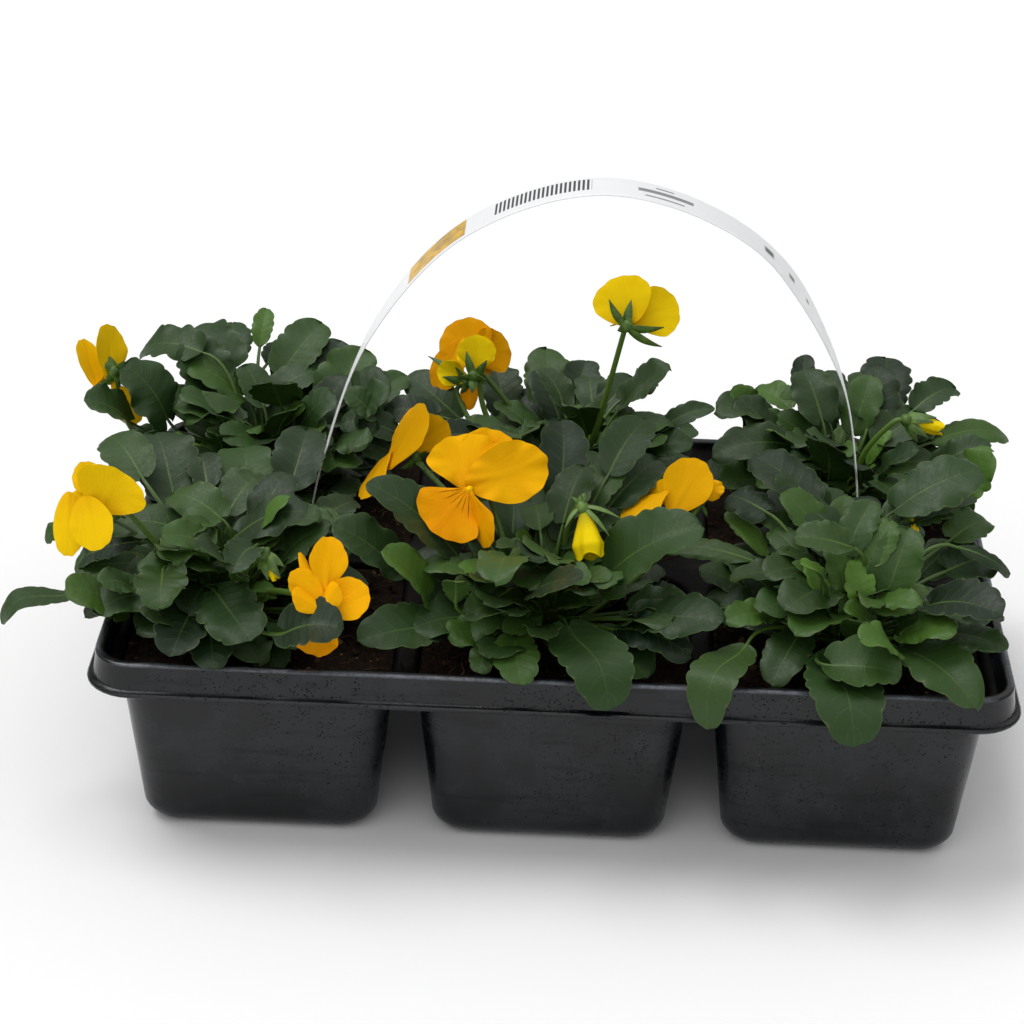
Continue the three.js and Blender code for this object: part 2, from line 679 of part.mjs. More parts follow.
for (const [row, y] of Object.entries({ front: ROWS[0], back: ROWS[1] })) {
  for (const [i, x] of COLUMNS.entries()) {
    const solid = soil([x, y]);
    addPiece(`soil_${row}_${COLUMN_NAMES[i]}`, solid, COLOURS.soil);
    place(solid, "soil");
  }
}

const strapSolid = strap();
addPiece("carry_strap", strapSolid, COLOURS.strap);
place(strapSolid, "strap");

for (const flower of FLOWERS) {
  const plant = PLANTS.find((each) => each.name === flower.plant);
  const petals = flower.open < FURLED_BELOW ? furled(flower) : corolla(flower);
  const stem = stemAndCalyx(flower, plant.crown);
  addPiece(`petals_${flower.name}`, petals, COLOURS.petal);
  addPiece(`stem_${flower.name}`, stem, COLOURS.stem);
  place(petals, flower.name);
  place(stem, flower.name);
}

for (const plant of PLANTS) {
  addPiece(`plant_${plant.name}`, rosette(plant), COLOURS.leaf);
}

// The origin of the part is the middle of its box, at the level it stands on
const whole = new THREE.Box3().setFromObject(group);
const middle = whole.getCenter(new THREE.Vector3());
group.position.set(-middle.x, -middle.y, 0);

export default group;
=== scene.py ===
import math

import bpy
import numpy as np
from mathutils import Matrix, Vector


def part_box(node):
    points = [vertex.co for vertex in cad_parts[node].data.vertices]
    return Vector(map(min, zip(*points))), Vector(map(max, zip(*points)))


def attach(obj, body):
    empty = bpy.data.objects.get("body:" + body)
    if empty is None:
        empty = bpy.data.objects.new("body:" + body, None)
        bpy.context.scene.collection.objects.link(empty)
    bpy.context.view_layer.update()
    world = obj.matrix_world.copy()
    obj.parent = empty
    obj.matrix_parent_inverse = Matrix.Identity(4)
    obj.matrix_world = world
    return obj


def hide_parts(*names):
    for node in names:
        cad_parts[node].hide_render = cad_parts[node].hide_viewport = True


# Carry pack of six young pansies. Sizes are in millimetres from the middle of the tray at floor
# level, x to the right, y to the back, z up, until makePiece turns them into metres.
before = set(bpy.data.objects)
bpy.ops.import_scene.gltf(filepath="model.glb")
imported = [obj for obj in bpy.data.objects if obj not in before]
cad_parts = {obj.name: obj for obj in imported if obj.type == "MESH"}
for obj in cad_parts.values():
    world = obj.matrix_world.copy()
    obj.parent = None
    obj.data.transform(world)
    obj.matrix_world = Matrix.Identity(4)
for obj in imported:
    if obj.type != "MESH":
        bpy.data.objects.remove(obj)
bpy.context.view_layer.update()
trayLow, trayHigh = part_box("tray")
trayCentre = np.array([(trayLow.x + trayHigh.x) / 2, (trayLow.y + trayHigh.y) / 2, 0.0])
millimetre = 0.001
print("frame loaded:", len(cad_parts), "nodes")

# camera
cameraSet = {
    "azimuth": 1.33,
    "elevation": 27.17,
    "roll": 1.73,
    "distance": 975.92,
    "target": (-16.62, 16.76, 69.96),
    "lens": 100.85,
    "sensor": 36.0,
    "farthest": 20,  # metres
}


def cameraAxes(c):
    # right, up and backward unit vectors of the camera: backward comes from azimuth and elevation,
    # right is level, and both right and up are then turned by the roll
    a, e, r = np.radians([c["azimuth"], c["elevation"], c["roll"]])
    back = np.array([np.sin(a) * np.cos(e), -np.cos(a) * np.cos(e), np.sin(e)])
    right = np.cross(-back, [0, 0, 1])
    right /= np.linalg.norm(right)
    up = np.cross(right, -back)
    return np.cos(r) * right + np.sin(r) * up, -np.sin(r) * right + np.cos(r) * up, back


viewRight, viewUp, viewBack = cameraAxes(cameraSet)


def fromView(offset):
    # an offset told as (right, up, towards the viewer)
    return offset[0] * viewRight + offset[1] * viewUp + offset[2] * viewBack


# mesh helpers
def unit(v):
    return v / np.maximum(np.linalg.norm(v, axis=-1, keepdims=True), 1e-9)


def smooth(x, low, high):
    # 0 at low, 1 at high and 3t^2 - 2t^3 between them
    t = np.clip((x - low) / (high - low), 0, 1)
    return t * t * (3 - 2 * t)


def gridQuads(rows, columns, wrap=False):
    # the four corners of every cell of a grid of points; wrap joins the last column to the first
    index = np.arange(rows * columns).reshape(rows, columns)
    if wrap:
        index = np.concatenate([index, index[:, :1]], axis=1)
    corners = [index[:-1, :-1], index[1:, :-1], index[1:, 1:], index[:-1, 1:]]
    return np.stack(corners, axis=-1).reshape(-1, 4)


def gridEdge(rows, columns):
    # the numbers of a grid's outermost points, once round
    index = np.arange(rows * columns).reshape(rows, columns)
    return np.concatenate([index[:, 0], index[-1, 1:], index[-2::-1, -1], index[0, -2:0:-1]])


def closedSheet(grid, thickness, values):
    # a thin solid: the grid lifted and sunk by half the thickness along its normals, and a band
    # of faces round the edge; values are spread over the grid, and "under" is 1 on the sunk side
    rows, columns = grid.shape[:2]
    normal = unit(np.cross(np.gradient(grid, axis=0), np.gradient(grid, axis=1)))
    half = normal * np.asarray(thickness)[..., None] / 2
    count = rows * columns
    points = np.concatenate([(grid + half).reshape(-1, 3), (grid - half).reshape(-1, 3)])
    upper = gridQuads(rows, columns)
    edge = gridEdge(rows, columns)
    after = np.roll(edge, -1)
    band = np.stack([edge + count, after + count, after, edge], axis=-1)
    quads = np.concatenate([upper, upper[:, ::-1] + count, band])
    told = {key: np.tile(np.broadcast_to(v, (rows, columns)).ravel(), 2) for key, v in values.items()}
    told["under"] = np.repeat([0.0, 1.0], count)
    return {"points": points, "quads": quads, "values": told}


def flippedSheet(grid, thickness, values):
    # the same solid made from the grid read from right to left, which turns its faces round
    values = {key: np.broadcast_to(v, grid.shape[:2])[:, ::-1] for key, v in values.items()}
    return closedSheet(grid[:, ::-1], thickness[:, ::-1], values)


def tubeSkin(body, ends, values, flipped=False):
    # a closed skin from rings of points (ring, side) and the two points that close its ends with
    # fans; values hold one number per ring and side, and the two ends' numbers
    rings, sides = body.shape[:2]
    quads = gridQuads(rings, sides, wrap=True)[:, ::-1]
    first = np.arange(sides)
    second = np.roll(first, -1)
    last = (rings - 1) * sides
    start = np.stack([np.full(sides, rings * sides), second, first], axis=-1)
    end = np.stack([np.full(sides, rings * sides + 1), last + first, last + second], axis=-1)
    tris = np.concatenate([start, end])
    if flipped:
        quads, tris = quads[:, ::-1], tris[:, ::-1]
    told = {}
    for key, (inner, atEnds) in values.items():
        told[key] = np.concatenate([np.broadcast_to(inner, (rings, sides)).ravel(), atEnds])
    points = np.concatenate([body.reshape(-1, 3), ends])
    return {"points": points, "quads": quads, "tris": tris, "values": told}


def circle(angle, across, over):
    # cos(angle) across + sin(angle) over: a ring of unit offsets
    return np.cos(angle)[None, :, None] * across + np.sin(angle)[None, :, None] * over


def sweptTube(path, radius, sides, values):
    # a round solid along a path: rings of points at the radius, square to the path
    path = np.asarray(path, float)
    count = len(path)
    tangent = unit(np.gradient(path, axis=0))
    across = np.cross(unit(path[-1] - path[0]), [0.0, 0.0, 1.0])
    if np.linalg.norm(across) < 0.1:  # an upright path
        across = np.array([1.0, 0.0, 0.0])
    side = unit(across - (tangent @ across)[:, None] * tangent)
    over = np.cross(tangent, side)
    ring = circle(np.arange(sides) * 2 * np.pi / sides, side[:, None], over[:, None])
    body = path[:, None] + ring * np.broadcast_to(radius, count)[:, None, None]
    told = {}
    for key, v in values.items():
        v = np.broadcast_to(v, count)
        told[key] = (v[:, None], v[[0, -1]])
    return tubeSkin(body, path[[0, -1]], told)


def joinParts(parts):
    # one list of points, quads, triangles and point values from many
    start = 0
    points, quads, tris = [], [], []
    names = sorted({name for part in parts for name in part["values"]})
    told = {name: [] for name in names}
    for part in parts:
        count = len(part["points"])
        points.append(part["points"])
        quads.append(part["quads"] + start)
        tris.append(part.get("tris", np.zeros((0, 3), int)) + start)
        for name in names:
            told[name].append(np.broadcast_to(part["values"].get(name, 0.0), count))
        start += count
    joined = {name: np.concatenate(v) for name, v in told.items()}
    return np.concatenate(points), np.concatenate(quads), np.concatenate(tris), joined


def makePiece(name, parts, material, standsFor=(), sharp=50):
    # one object from its parts, in metres about the CAD origin; each point value is an attribute,
    # and edges that bend by more than sharp degrees stay crisp
    points, quads, tris, told = joinParts(parts)
    mesh = bpy.data.meshes.new(name)
    mesh.vertices.add(len(points))
    placed = points * millimetre + trayCentre
    mesh.vertices.foreach_set("co", placed.astype(np.float32).ravel())
    corners = np.concatenate([quads.ravel(), tris.ravel()]).astype(np.int32)
    sizes = np.concatenate([np.full(len(quads), 4), np.full(len(tris), 3)])
    mesh.loops.add(len(corners))
    mesh.loops.foreach_set("vertex_index", corners)
    mesh.polygons.add(len(sizes))
    starts = np.concatenate([[0], np.cumsum(sizes)[:-1]]).astype(np.int32)
    mesh.polygons.foreach_set("loop_start", starts)
    for key, v in told.items():
        mesh.attributes.new(key, "FLOAT", "POINT").data.foreach_set("value", v.astype(np.float32))
    mesh.update(calc_edges=True)
    mesh.validate()
    mesh.shade_smooth()
    mesh.set_sharp_from_angle(angle=math.radians(sharp))
    mesh.materials.append(material)
    piece = bpy.data.objects.new(name, mesh)
    bpy.context.scene.collection.objects.link(piece)
    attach(piece, "root")
    if standsFor:
        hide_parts(*standsFor)


def bezier(points, steps):
    # the cubic curve through two ends with two handles
    t = np.linspace(0, 1, steps)[:, None]
    a, b, c, d = [np.asarray(p, float) for p in points]
    return a * (1 - t) ** 3 + 3 * b * t * (1 - t) ** 2 + 3 * c * t * t * (1 - t) + d * t**3


def throughPoints(points, steps):
    # a smooth curve through the points: each stretch is a cubic whose slopes at a point are half
    # the step between its neighbours
    p = np.asarray(points, float)
    slope = np.gradient(p, axis=0)
    t = np.linspace(0, len(p) - 1, steps)
    i = np.minimum(t.astype(int), len(p) - 2)
    s = (t - i)[:, None]
    return (
        p[i] * (1 + 2 * s) * (1 - s) ** 2
        + p[i + 1] * s * s * (3 - 2 * s)
        + slope[i] * s * (1 - s) ** 2
        - slope[i + 1] * s * s * (1 - s)
    )


def waves(points, scale, seed, octaves):
    # soft noise: sines of random direction and phase summed over octaves, each half as high and
    # twice as fine as the one before
    picker = np.random.default_rng(seed)
    total = np.zeros(points.shape[:-1])
    for octave in range(octaves):
        for _ in range(5):
            direction = unit(picker.normal(size=points.shape[-1]))
            phase = picker.uniform(0, 2 * np.pi)
            total += np.sin(points @ direction * scale * 2**octave + phase) / (2.2 * 2**octave)
    return total / 2


# material helpers
class NodeSheet:
    # a material with one Principled shader, and short ways to add and link nodes
    def __init__(self, name):
        self.material = bpy.data.materials.new(name)
        self.material.use_nodes = True
        self.tree = self.material.node_tree
        self.shader = self.tree.nodes["Principled BSDF"]

    def node(self, kind, **settings):
        made = self.tree.nodes.new("ShaderNode" + kind)
        for key, value in settings.items():
            setattr(made, key, value)
        return made

    def feed(self, socket, value):
        if isinstance(value, bpy.types.NodeSocket):
            self.tree.links.new(value, socket)
        else:
            socket.default_value = value

    def objectPlace(self):
        return self.node("TexCoord").outputs["Object"]

    def value(self, name):
        # a point attribute of the piece's own mesh
        return self.node("Attribute", attribute_name=name).outputs["Fac"]

    def noise(self, scale, detail=3.0, roughness=0.5, vector=None):
        # soft noise in the piece's own metres, about a half on average
        made = self.node("TexNoise")
        self.feed(made.inputs["Vector"], vector or self.objectPlace())
        for key, number in (("Scale", scale), ("Detail", detail), ("Roughness", roughness)):
            made.inputs[key].default_value = number
        return made.outputs["Fac"]

    def cells(self, scale, feature="F1"):
        # distance from the nearest of many scattered points, or from the edge between two
        made = self.node("TexVoronoi", feature=feature)
        self.feed(made.inputs["Vector"], self.objectPlace())
        made.inputs["Scale"].default_value = scale
        return made.outputs["Distance"]

    def math(self, operation, a, b=0.0):
        made = self.node("Math", operation=operation)
        self.feed(made.inputs[0], a)
        self.feed(made.inputs[1], b)
        return made.outputs[0]

    def times(self, first, *others):
        for other in others:
            first = self.math("MULTIPLY", first, other)
        return first

    def plus(self, first, *others):
        for other in others:
            first = self.math("ADD", first, other)
        return first

    def size(self, value):
        return self.math("ABSOLUTE", value)

    def stripes(self, value):
        # 0 where the value lies half-way between two whole numbers, a half where it is whole
        return self.size(self.math("SUBTRACT", self.math("FRACT", value), 0.5))

    def between(self, value, low, high, toLow=0.0, toHigh=1.0):
        # a smooth step: toLow at low, toHigh at high
        made = self.node("MapRange", interpolation_type="SMOOTHSTEP")
        given = {"Value": value, "From Min": low, "From Max": high, "To Min": toLow, "To Max": toHigh}
        for key, number in given.items():
            self.feed(made.inputs[key], number)
        return made.outputs[0]

    def mix(self, factor, a, b):
        # a where the factor is 0, b where it is 1
        made = self.node("Mix", data_type="RGBA")
        self.feed(made.inputs["Factor"], factor)
        self.feed(made.inputs["A"], a if isinstance(a, bpy.types.NodeSocket) else (*a, 1))
        self.feed(made.inputs["B"], b if isinstance(b, bpy.types.NodeSocket) else (*b, 1))
        return made.outputs["Result"]

    def bump(self, height, strength, distance):
        made = self.node("Bump")
        made.inputs["Strength"].default_value = strength
        made.inputs["Distance"].default_value = distance
        self.feed(made.inputs["Height"], height)
        self.feed(self.shader.inputs["Normal"], made.outputs["Normal"])

    def set(self, **inputs):
        for key, value in inputs.items():
            self.feed(self.shader.inputs[key.replace("_", " ")], value)


# materials
leafPaint = {
    "deep": (0.005, 0.0155, 0.0045),
    "dark": (0.02, 0.052, 0.0095),
    "patch": (0.02, 0.042, 0.014),
    "young": (0.09, 0.2, 0.018),
    "under": ((0.018, 0.05, 0.005), (0.034, 0.078, 0.009)),
    "vein": (0.042, 0.088, 0.024),
    "margin": (0.05, 0.1, 0.025),
    "midrib": (0.085, 0.15, 0.028),
    "gland": (0.16, 0.19, 0.07),
    "dull": (0.02, 0.03, 0.01),
    "sideVeins": 7.0,
    "slant": 1.5,
}


def leafMaterial():
    # the upper side goes from deep to dark with the leaf's tone, then to yellow-green with youth;
    # a midrib that thins to the tip and slanting side veins follow the leaf's own map
    sheet, paint = NodeSheet("leafGreen"), leafPaint
    along, aside = sheet.value("along"), sheet.size(sheet.value("across"))
    patchy, fine = sheet.noise(60, 4, 0.6), sheet.noise(900, 3, 0.6)
    top = sheet.mix(sheet.between(sheet.value("tone"), 0, 1), paint["deep"], paint["dark"])
    top = sheet.mix(sheet.between(patchy, 0.4, 0.75, 0, 0.3), top, paint["patch"])
    top = sheet.mix(sheet.value("young"), top, paint["young"])
    green = sheet.mix(sheet.value("under"), top, sheet.mix(sheet.between(patchy, 0.3, 0.7), *paint["under"]))
    ribWidth = sheet.plus(sheet.times(along, -0.42), 0.62)
    rib = sheet.between(sheet.math("DIVIDE", sheet.size(sheet.value("offMm")), ribWidth), 0.45, 1.0, 1, 0)
    rib = sheet.times(rib, sheet.between(along, 0.0, 0.95, 0.75, 0.15))
    slant = sheet.times(sheet.math("POWER", aside, 1.3), paint["slant"])
    slant = sheet.math("SUBTRACT", sheet.times(along, paint["sideVeins"]), slant)
    slant = sheet.plus(slant, sheet.times(sheet.noise(180, 2), 0.5))
    vein = sheet.between(sheet.stripes(slant), 0.0, 0.1, 1, 0)
    vein = sheet.times(vein, sheet.between(aside, 0.35, 0.8, 1, 0))
    green = sheet.mix(sheet.times(vein, 0.3), green, paint["vein"])
    green = sheet.mix(sheet.between(aside, 0.93, 1.0, 0, 0.55), green, paint["margin"])
    green = sheet.mix(rib, green, paint["midrib"])
    green = sheet.mix(sheet.times(sheet.value("gland"), 0.45), green, paint["gland"])
    green = sheet.mix(sheet.between(fine, 0.45, 0.8, 0, 0.15), green, paint["dull"])
    net = sheet.between(sheet.cells(650, "DISTANCE_TO_EDGE"), 0, 0.4, 0, 0.1)
    height = sheet.plus(sheet.times(vein, -0.35), sheet.times(rib, -1.0), net, sheet.times(patchy, 1.5))
    sheet.bump(height, 0.3, 0.0004)
    sheet.set(Base_Color=green, Roughness=sheet.between(fine, 0.3, 0.7, 0.42, 0.55), Specular_IOR_Level=0.3)
    return sheet.material


stalkPaint = {
    "foot": (0.1, 0.19, 0.02),
    "far": (0.06, 0.125, 0.014),
    "old": (0.022, 0.052, 0.012),
    "streak": (0.09, 0.14, 0.035),
}


def stalkMaterial():
    # pale at the foot, darker along its length and the higher its tone, with fine streaks
    sheet, paint = NodeSheet("stalkGreen"), stalkPaint
    streak = sheet.noise(700, 3, 0.6)
    green = sheet.mix(sheet.value("along"), paint["foot"], paint["far"])
    green = sheet.mix(sheet.between(sheet.value("tone"), 0.2, 1, 0, 0.85), green, paint["old"])
    green = sheet.mix(sheet.between(streak, 0.45, 0.75, 0, 0.35), green, paint["streak"])
    sheet.bump(streak, 0.3, 0.0003)
    sheet.set(Base_Color=green, Roughness=sheet.between(streak, 0.3, 0.7, 0.38, 0.52))
    return sheet.material


sepalPaint = {
    "greens": ((0.04, 0.095, 0.01), (0.1, 0.19, 0.018)),
    "tip": (0.03, 0.05, 0.02),
    "pale": (0.2, 0.32, 0.08),
}


def sepalMaterial():
    # mottled green, darker towards the tip, paler by the value pale
    sheet, paint = NodeSheet("sepalGreen"), sepalPaint
    mottle = sheet.noise(500, 4, 0.6)
    green = sheet.mix(sheet.between(mottle, 0.35, 0.7), *paint["greens"])
    green = sheet.mix(sheet.between(sheet.value("along"), 0.6, 1.0, 0, 0.35), green, paint["tip"])
    green = sheet.mix(sheet.value("pale"), green, paint["pale"])
    sheet.bump(mottle, 0.4, 0.0003)
    sheet.set(Base_Color=green, Roughness=sheet.between(mottle, 0.3, 0.7, 0.42, 0.58))
    return sheet.material


petalPaint = {
    "gold": (0.9, 0.46, 0.0012),
    "orange": (0.86, 0.28, 0.001),
    "lemon": (0.84, 0.65, 0.003),
    "throat": (0.8, 0.3, 0.001),
    "light": (0.9, 0.55, 0.002),
    "green": (0.22, 0.32, 0.02),
    "line": (0.5, 0.2, 0.0),
    "guide": (0.09, 0.012, 0.002),
    "fineLines": 9.0,
    "guides": 3.6,
}


def petalMaterial():
    # gold mixed with orange or lemon, fine lines that fan out from the throat, and the dark guide
    # lines of the lip, which fade in above the throat and out before the margin
    sheet, paint = NodeSheet("petalGold"), petalPaint
    along, turn = sheet.value("along"), sheet.value("turn")
    soft, ripple = sheet.noise(120, 3, 0.5), sheet.noise(400, 2, 0.5)
    gold = sheet.mix(sheet.value("orange"), paint["gold"], paint["orange"])
    gold = sheet.mix(sheet.value("lemon"), gold, paint["lemon"])
    gold = sheet.mix(sheet.between(along, 0.0, 0.5, 0.35, 0), gold, paint["throat"])
    gold = sheet.mix(sheet.between(soft, 0.35, 0.75, 0, 0.22), gold, paint["light"])
    gold = sheet.mix(sheet.value("green"), gold, paint["green"])
    fan = sheet.plus(sheet.times(turn, paint["fineLines"]), sheet.times(ripple, 0.8))
    line = sheet.between(sheet.stripes(fan), 0.0, 0.2, 1, 0)
    gold = sheet.mix(sheet.times(line, 0.035), gold, paint["line"])
    guide = sheet.plus(sheet.times(turn, paint["guides"]), sheet.times(ripple, 0.35))
    guide = sheet.between(sheet.stripes(guide), 0.02, 0.1, 1, 0)
    reach = sheet.times(sheet.between(along, 0.07, 0.12), sheet.between(along, 0.3, 0.48, 1, 0))
    gold = sheet.mix(sheet.times(guide, reach, sheet.value("lip")), gold, paint["guide"])
    sheet.bump(sheet.plus(sheet.times(line, -0.15), soft), 0.35, 0.0004)
    sheet.set(Base_Color=gold, Roughness=sheet.between(soft, 0.3, 0.7, 0.5, 0.66), Specular_IOR_Level=0.06)
    return sheet.material


trayPaint = {
    "black": (0.0028, 0.0036, 0.0048),
    "worn": (0.0105, 0.0125, 0.015),
    "damp": (0.0012, 0.0014, 0.0018),
    "peat": (0.12, 0.1, 0.08),
    "streak": (0.004, 0.0045, 0.0055),
    # painted highlight: pale bluish colour for the line along the rim's outer top edge
    "paintedHighlight": (0.1, 0.11, 0.125),
    # painted shade from the leaves above for the web between the cells, mixed with brown peat dust
    "web": ((0.0015, 0.0014, 0.0014), (0.006, 0.0045, 0.0035)),
}


def trayMaterial():
    # black plastic with worn patches, dark specks where the dust is damp, grains of peat and
    # streaks; a painted highlight runs along the rim's outer top edge, and the web is dull,
    # darkened with painted shade from the leaves above and mottled brown with peat dust
    sheet, paint = NodeSheet("trayPlastic"), trayPaint
    web = sheet.value("web")
    blotch, dust = sheet.noise(45, 5, 0.62), sheet.noise(260, 5, 0.7)
    grey = sheet.mix(sheet.between(blotch, 0.4, 0.62), paint["black"], paint["worn"])
    damp = sheet.times(sheet.between(sheet.cells(1000), 0.2, 0.36, 1, 0), sheet.between(dust, 0.46, 0.56))
    damp = sheet.times(damp, sheet.between(sheet.noise(22, 2), 0.4, 0.6, 0.15, 1))
    grey = sheet.mix(sheet.times(damp, 0.9), grey, paint["damp"])
    grain = sheet.between(sheet.cells(300), 0.02, 0.06, 1, 0)
    grain = sheet.times(grain, sheet.between(sheet.noise(70, 2), 0.5, 0.6))
    grey = sheet.mix(grain, grey, paint["peat"])
    flattened = sheet.node("Mapping")
    flattened.inputs["Scale"].default_value = (9.0, 9.0, 60.0)
    sheet.feed(flattened.inputs["Vector"], sheet.objectPlace())
    streak = sheet.between(sheet.noise(4.0, 4, 0.6, flattened.outputs["Vector"]), 0.52, 0.68)
    grey = sheet.mix(sheet.times(streak, 0.4), grey, paint["streak"])
    # painted highlight along the rim's outer top edge, broken up by the dust noise
    paintedHighlight = sheet.times(sheet.value("edge"), sheet.between(dust, 0.3, 0.6, 0.35, 1.0))
    grey = sheet.mix(paintedHighlight, grey, paint["paintedHighlight"])
    # the web is darkened with painted shade from the leaves above and mottled brown with peat dust
    grey = sheet.mix(web, grey, sheet.mix(sheet.between(dust, 0.35, 0.7), *paint["web"]))
    sheet.bump(sheet.plus(blotch, sheet.times(dust, 0.35), sheet.times(damp, 0.5)), 0.3, 0.0008)
    gloss = sheet.plus(sheet.between(blotch, 0.35, 0.65, 0.16, 0.36), sheet.times(web, 0.25))
    shine = sheet.times(sheet.between(web, 0, 1, 0.37, 0.08), sheet.between(damp, 0, 1, 1, 0.25))
    shine = sheet.times(shine, sheet.between(streak, 0, 1, 1, 0.84))
    sheet.set(Base_Color=grey, Roughness=gloss, Specular_IOR_Level=shine)
    return sheet.material


soilPaint = {
    "deep": (0.0018, 0.0013, 0.0009),
    "light": (0.026, 0.015, 0.009),
    "patch": (0.02, 0.009, 0.004),
    "crumbs": ((0.005, 0.003, 0.002), (0.05, 0.025, 0.012)),
    "palest": (0.16, 0.1, 0.055),
    "grain": (0.05, 0.027, 0.014),
}


def soilMaterial():
    # nearly black peat that is brown where its grain is coarse, with reddish patches
    sheet, paint = NodeSheet("soilPeat"), soilPaint
    grain = sheet.noise(420, 6, 0.7)
    brown = sheet.mix(sheet.between(grain, 0.3, 0.72), paint["deep"], paint["light"])
    brown = sheet.mix(sheet.between(sheet.noise(70, 3, 0.6), 0.5, 0.8, 0, 0.5), brown, paint["patch"])
    sheet.bump(grain, 0.9, 0.0012)
    sheet.set(Base_Color=brown, Roughness=sheet.between(grain, 0.3, 0.7, 0.75, 0.95), Specular_IOR_Level=0.08)
    return sheet.material


def crumbMaterial():
    # a crumb's own tone makes it dark, brown or, for a few, as pale as straw
    sheet, paint = NodeSheet("peatCrumb"), soilPaint
    tone, grain = sheet.value("tone"), sheet.noise(900, 4, 0.7)
    brown = sheet.mix(sheet.between(tone, 0.2, 0.8), *paint["crumbs"])
    brown = sheet.mix(sheet.between(tone, 0.86, 0.95), brown, paint["palest"])
    brown = sheet.mix(sheet.between(grain, 0.4, 0.8, 0, 0.5), brown, paint["grain"])
    sheet.bump(grain, 0.5, 0.0004)
    sheet.set(Base_Color=brown, Roughness=sheet.between(grain, 0.3, 0.7, 0.6, 0.9), Specular_IOR_Level=0.12)
    return sheet.material


# Marks on the strap: from and to along its length (0 to 1), then from and to across (-1 to 1)
strapPaint = {
    "clean": (0.85, 0.863, 0.875),
    "grime": (0.74, 0.747, 0.755),
    "patch": (0.299, 0.37, -0.8, 0.86),
    "patchGolds": ((0.75, 0.45, 0.05), (0.5, 0.31, 0.06)),
    "patchBrown": (0.28, 0.21, 0.07),
    "stripes": (0.397, 0.488, -0.4, 0.82),
    "stripesPerLength": 250.0,
    "stripeInk": (0.05, 0.05, 0.055),
    "bars": ((0.543, 0.561, 0.45, 0.62), (0.527, 0.579, -0.12, 0.26), (0.533, 0.57, -0.58, -0.4)),
    "barInk": (0.1, 0.1, 0.11),
    "dots": ((0.651, 0.666, -0.35, 0.4), (0.684, 0.696, -0.3, 0.3), (0.712, 0.721, -0.25, 0.25)),
    "dotInk": (0.09, 0.11, 0.1),
}


def strapMaterial():
    # grimy white with a mottled golden patch, a block of even stripes and a few plain bars and
    # dots, all on the outer side only
    sheet, paint = NodeSheet("strapWhite"), strapPaint
    along, across, outer = sheet.value("along"), sheet.value("across"), sheet.value("outer")
    grime = sheet.noise(220, 5, 0.65)
    white = sheet.mix(sheet.between(grime, 0.45, 0.8, 0, 0.35), paint["clean"], paint["grime"])

    def window(value, low, high, edge):
        # 1 from low to high with soft edges, 0 outside
        risen = sheet.between(value, low, low + edge)
        return sheet.times(risen, sheet.between(value, high - edge, high, 1, 0))

    def mark(place, edges=(0.0015, 0.04)):
        # 1 inside the place, on the outer side only
        low, high, bottom, top = place
        return sheet.times(window(along, low, high, edges[0]), window(across, bottom, top, edges[1]), outer)

    patch = sheet.mix(sheet.between(sheet.noise(170, 2), 0.38, 0.62), *paint["patchGolds"])
    patch = sheet.mix(sheet.between(sheet.noise(420, 3), 0.5, 0.68, 0, 0.55), patch, paint["patchBrown"])
    white = sheet.mix(mark(paint["patch"]), white, patch)
    stripe = sheet.between(sheet.stripes(sheet.times(along, paint["stripesPerLength"])), 0.2, 0.27)
    white = sheet.mix(sheet.times(stripe, mark(paint["stripes"])), white, paint["stripeInk"])
    for bar in paint["bars"]:
        white = sheet.mix(sheet.times(mark(bar), 0.8), white, paint["barInk"])
    for dot in paint["dots"]:
        white = sheet.mix(mark(dot, (0.004, 0.25)), white, paint["dotInk"])
    sheet.bump(grime, 0.15, 0.0003)
    sheet.set(Base_Color=white, Roughness=sheet.between(grime, 0.3, 0.7, 0.3, 0.45))
    return sheet.material


leafGreen = leafMaterial()
stalkGreen = stalkMaterial()
sepalGreen = sepalMaterial()
petalGold = petalMaterial()
trayPlastic = trayMaterial()
soilPeat = soilMaterial()
peatCrumb = crumbMaterial()
strapWhite = strapMaterial()
print("materials ready")

# tray
tray = {
    "length": 290,
    "width": 182,
    "height": 66,
    "corner": 14,
    "wall": 0.8,
    "deck": 60,  # level of the web between the cells
    "skirt": 10.5,
    "skirtWarp": 0.35,
    "deckInset": 5.2,
    "panelInset": 4.6,
    "panelCorner": 9,
    "columns": (-93.3, 0, 93.3),
    "rows": (-44.3, 44.3),
    "cell": (87.5, 80.6),
    "cellCorner": 12,
    "taper": 5.5,
    "fillet": 8,
    "mouth": 2.2,  # rounding where a cell meets the web
    "drain": 4,
    "cellInset": 0.4,
    "saddle": 3.6,  # how far a divider climbs at the rim
    "saddleReach": 12,
    "saddleWidth": 5,
    "cornerSteps": 9,
    "sideSteps": 26,
}


def outlineInset(x, y, inset=0.0):
    # how far a point lies inside the tray's outline, from its ends and from its sides
    return tray["length"] / 2 - inset - np.abs(x), tray["width"] / 2 - inset - np.abs(y)


def roundedLoop(centre, length, width, radius, z):
    # a rounded rectangle, counter-clockwise from the right: four arcs with straight runs between
    steps, run = tray["cornerSteps"], tray["sideSteps"]
    arcs = []
    for corner, (sx, sy) in enumerate(((1, 1), (-1, 1), (-1, -1), (1, -1))):
        angle = (corner + np.linspace(0, 1, steps)) * np.pi / 2
        x = centre[0] + sx * (length / 2 - radius) + radius * np.cos(angle)
        y = centre[1] + sy * (width / 2 - radius) + radius * np.sin(angle)
        arcs.append(np.stack([x, y], axis=-1))
    loop = []
    share = np.linspace(0, 1, run + 2)[1:-1, None]
    for i, arc in enumerate(arcs):
        after = arcs[(i + 1) % 4][0]
        loop += [arc, arc[-1] * (1 - share) + after * share]
    flat = np.concatenate(loop)
    return np.column_stack([flat, np.full(len(flat), float(z))])


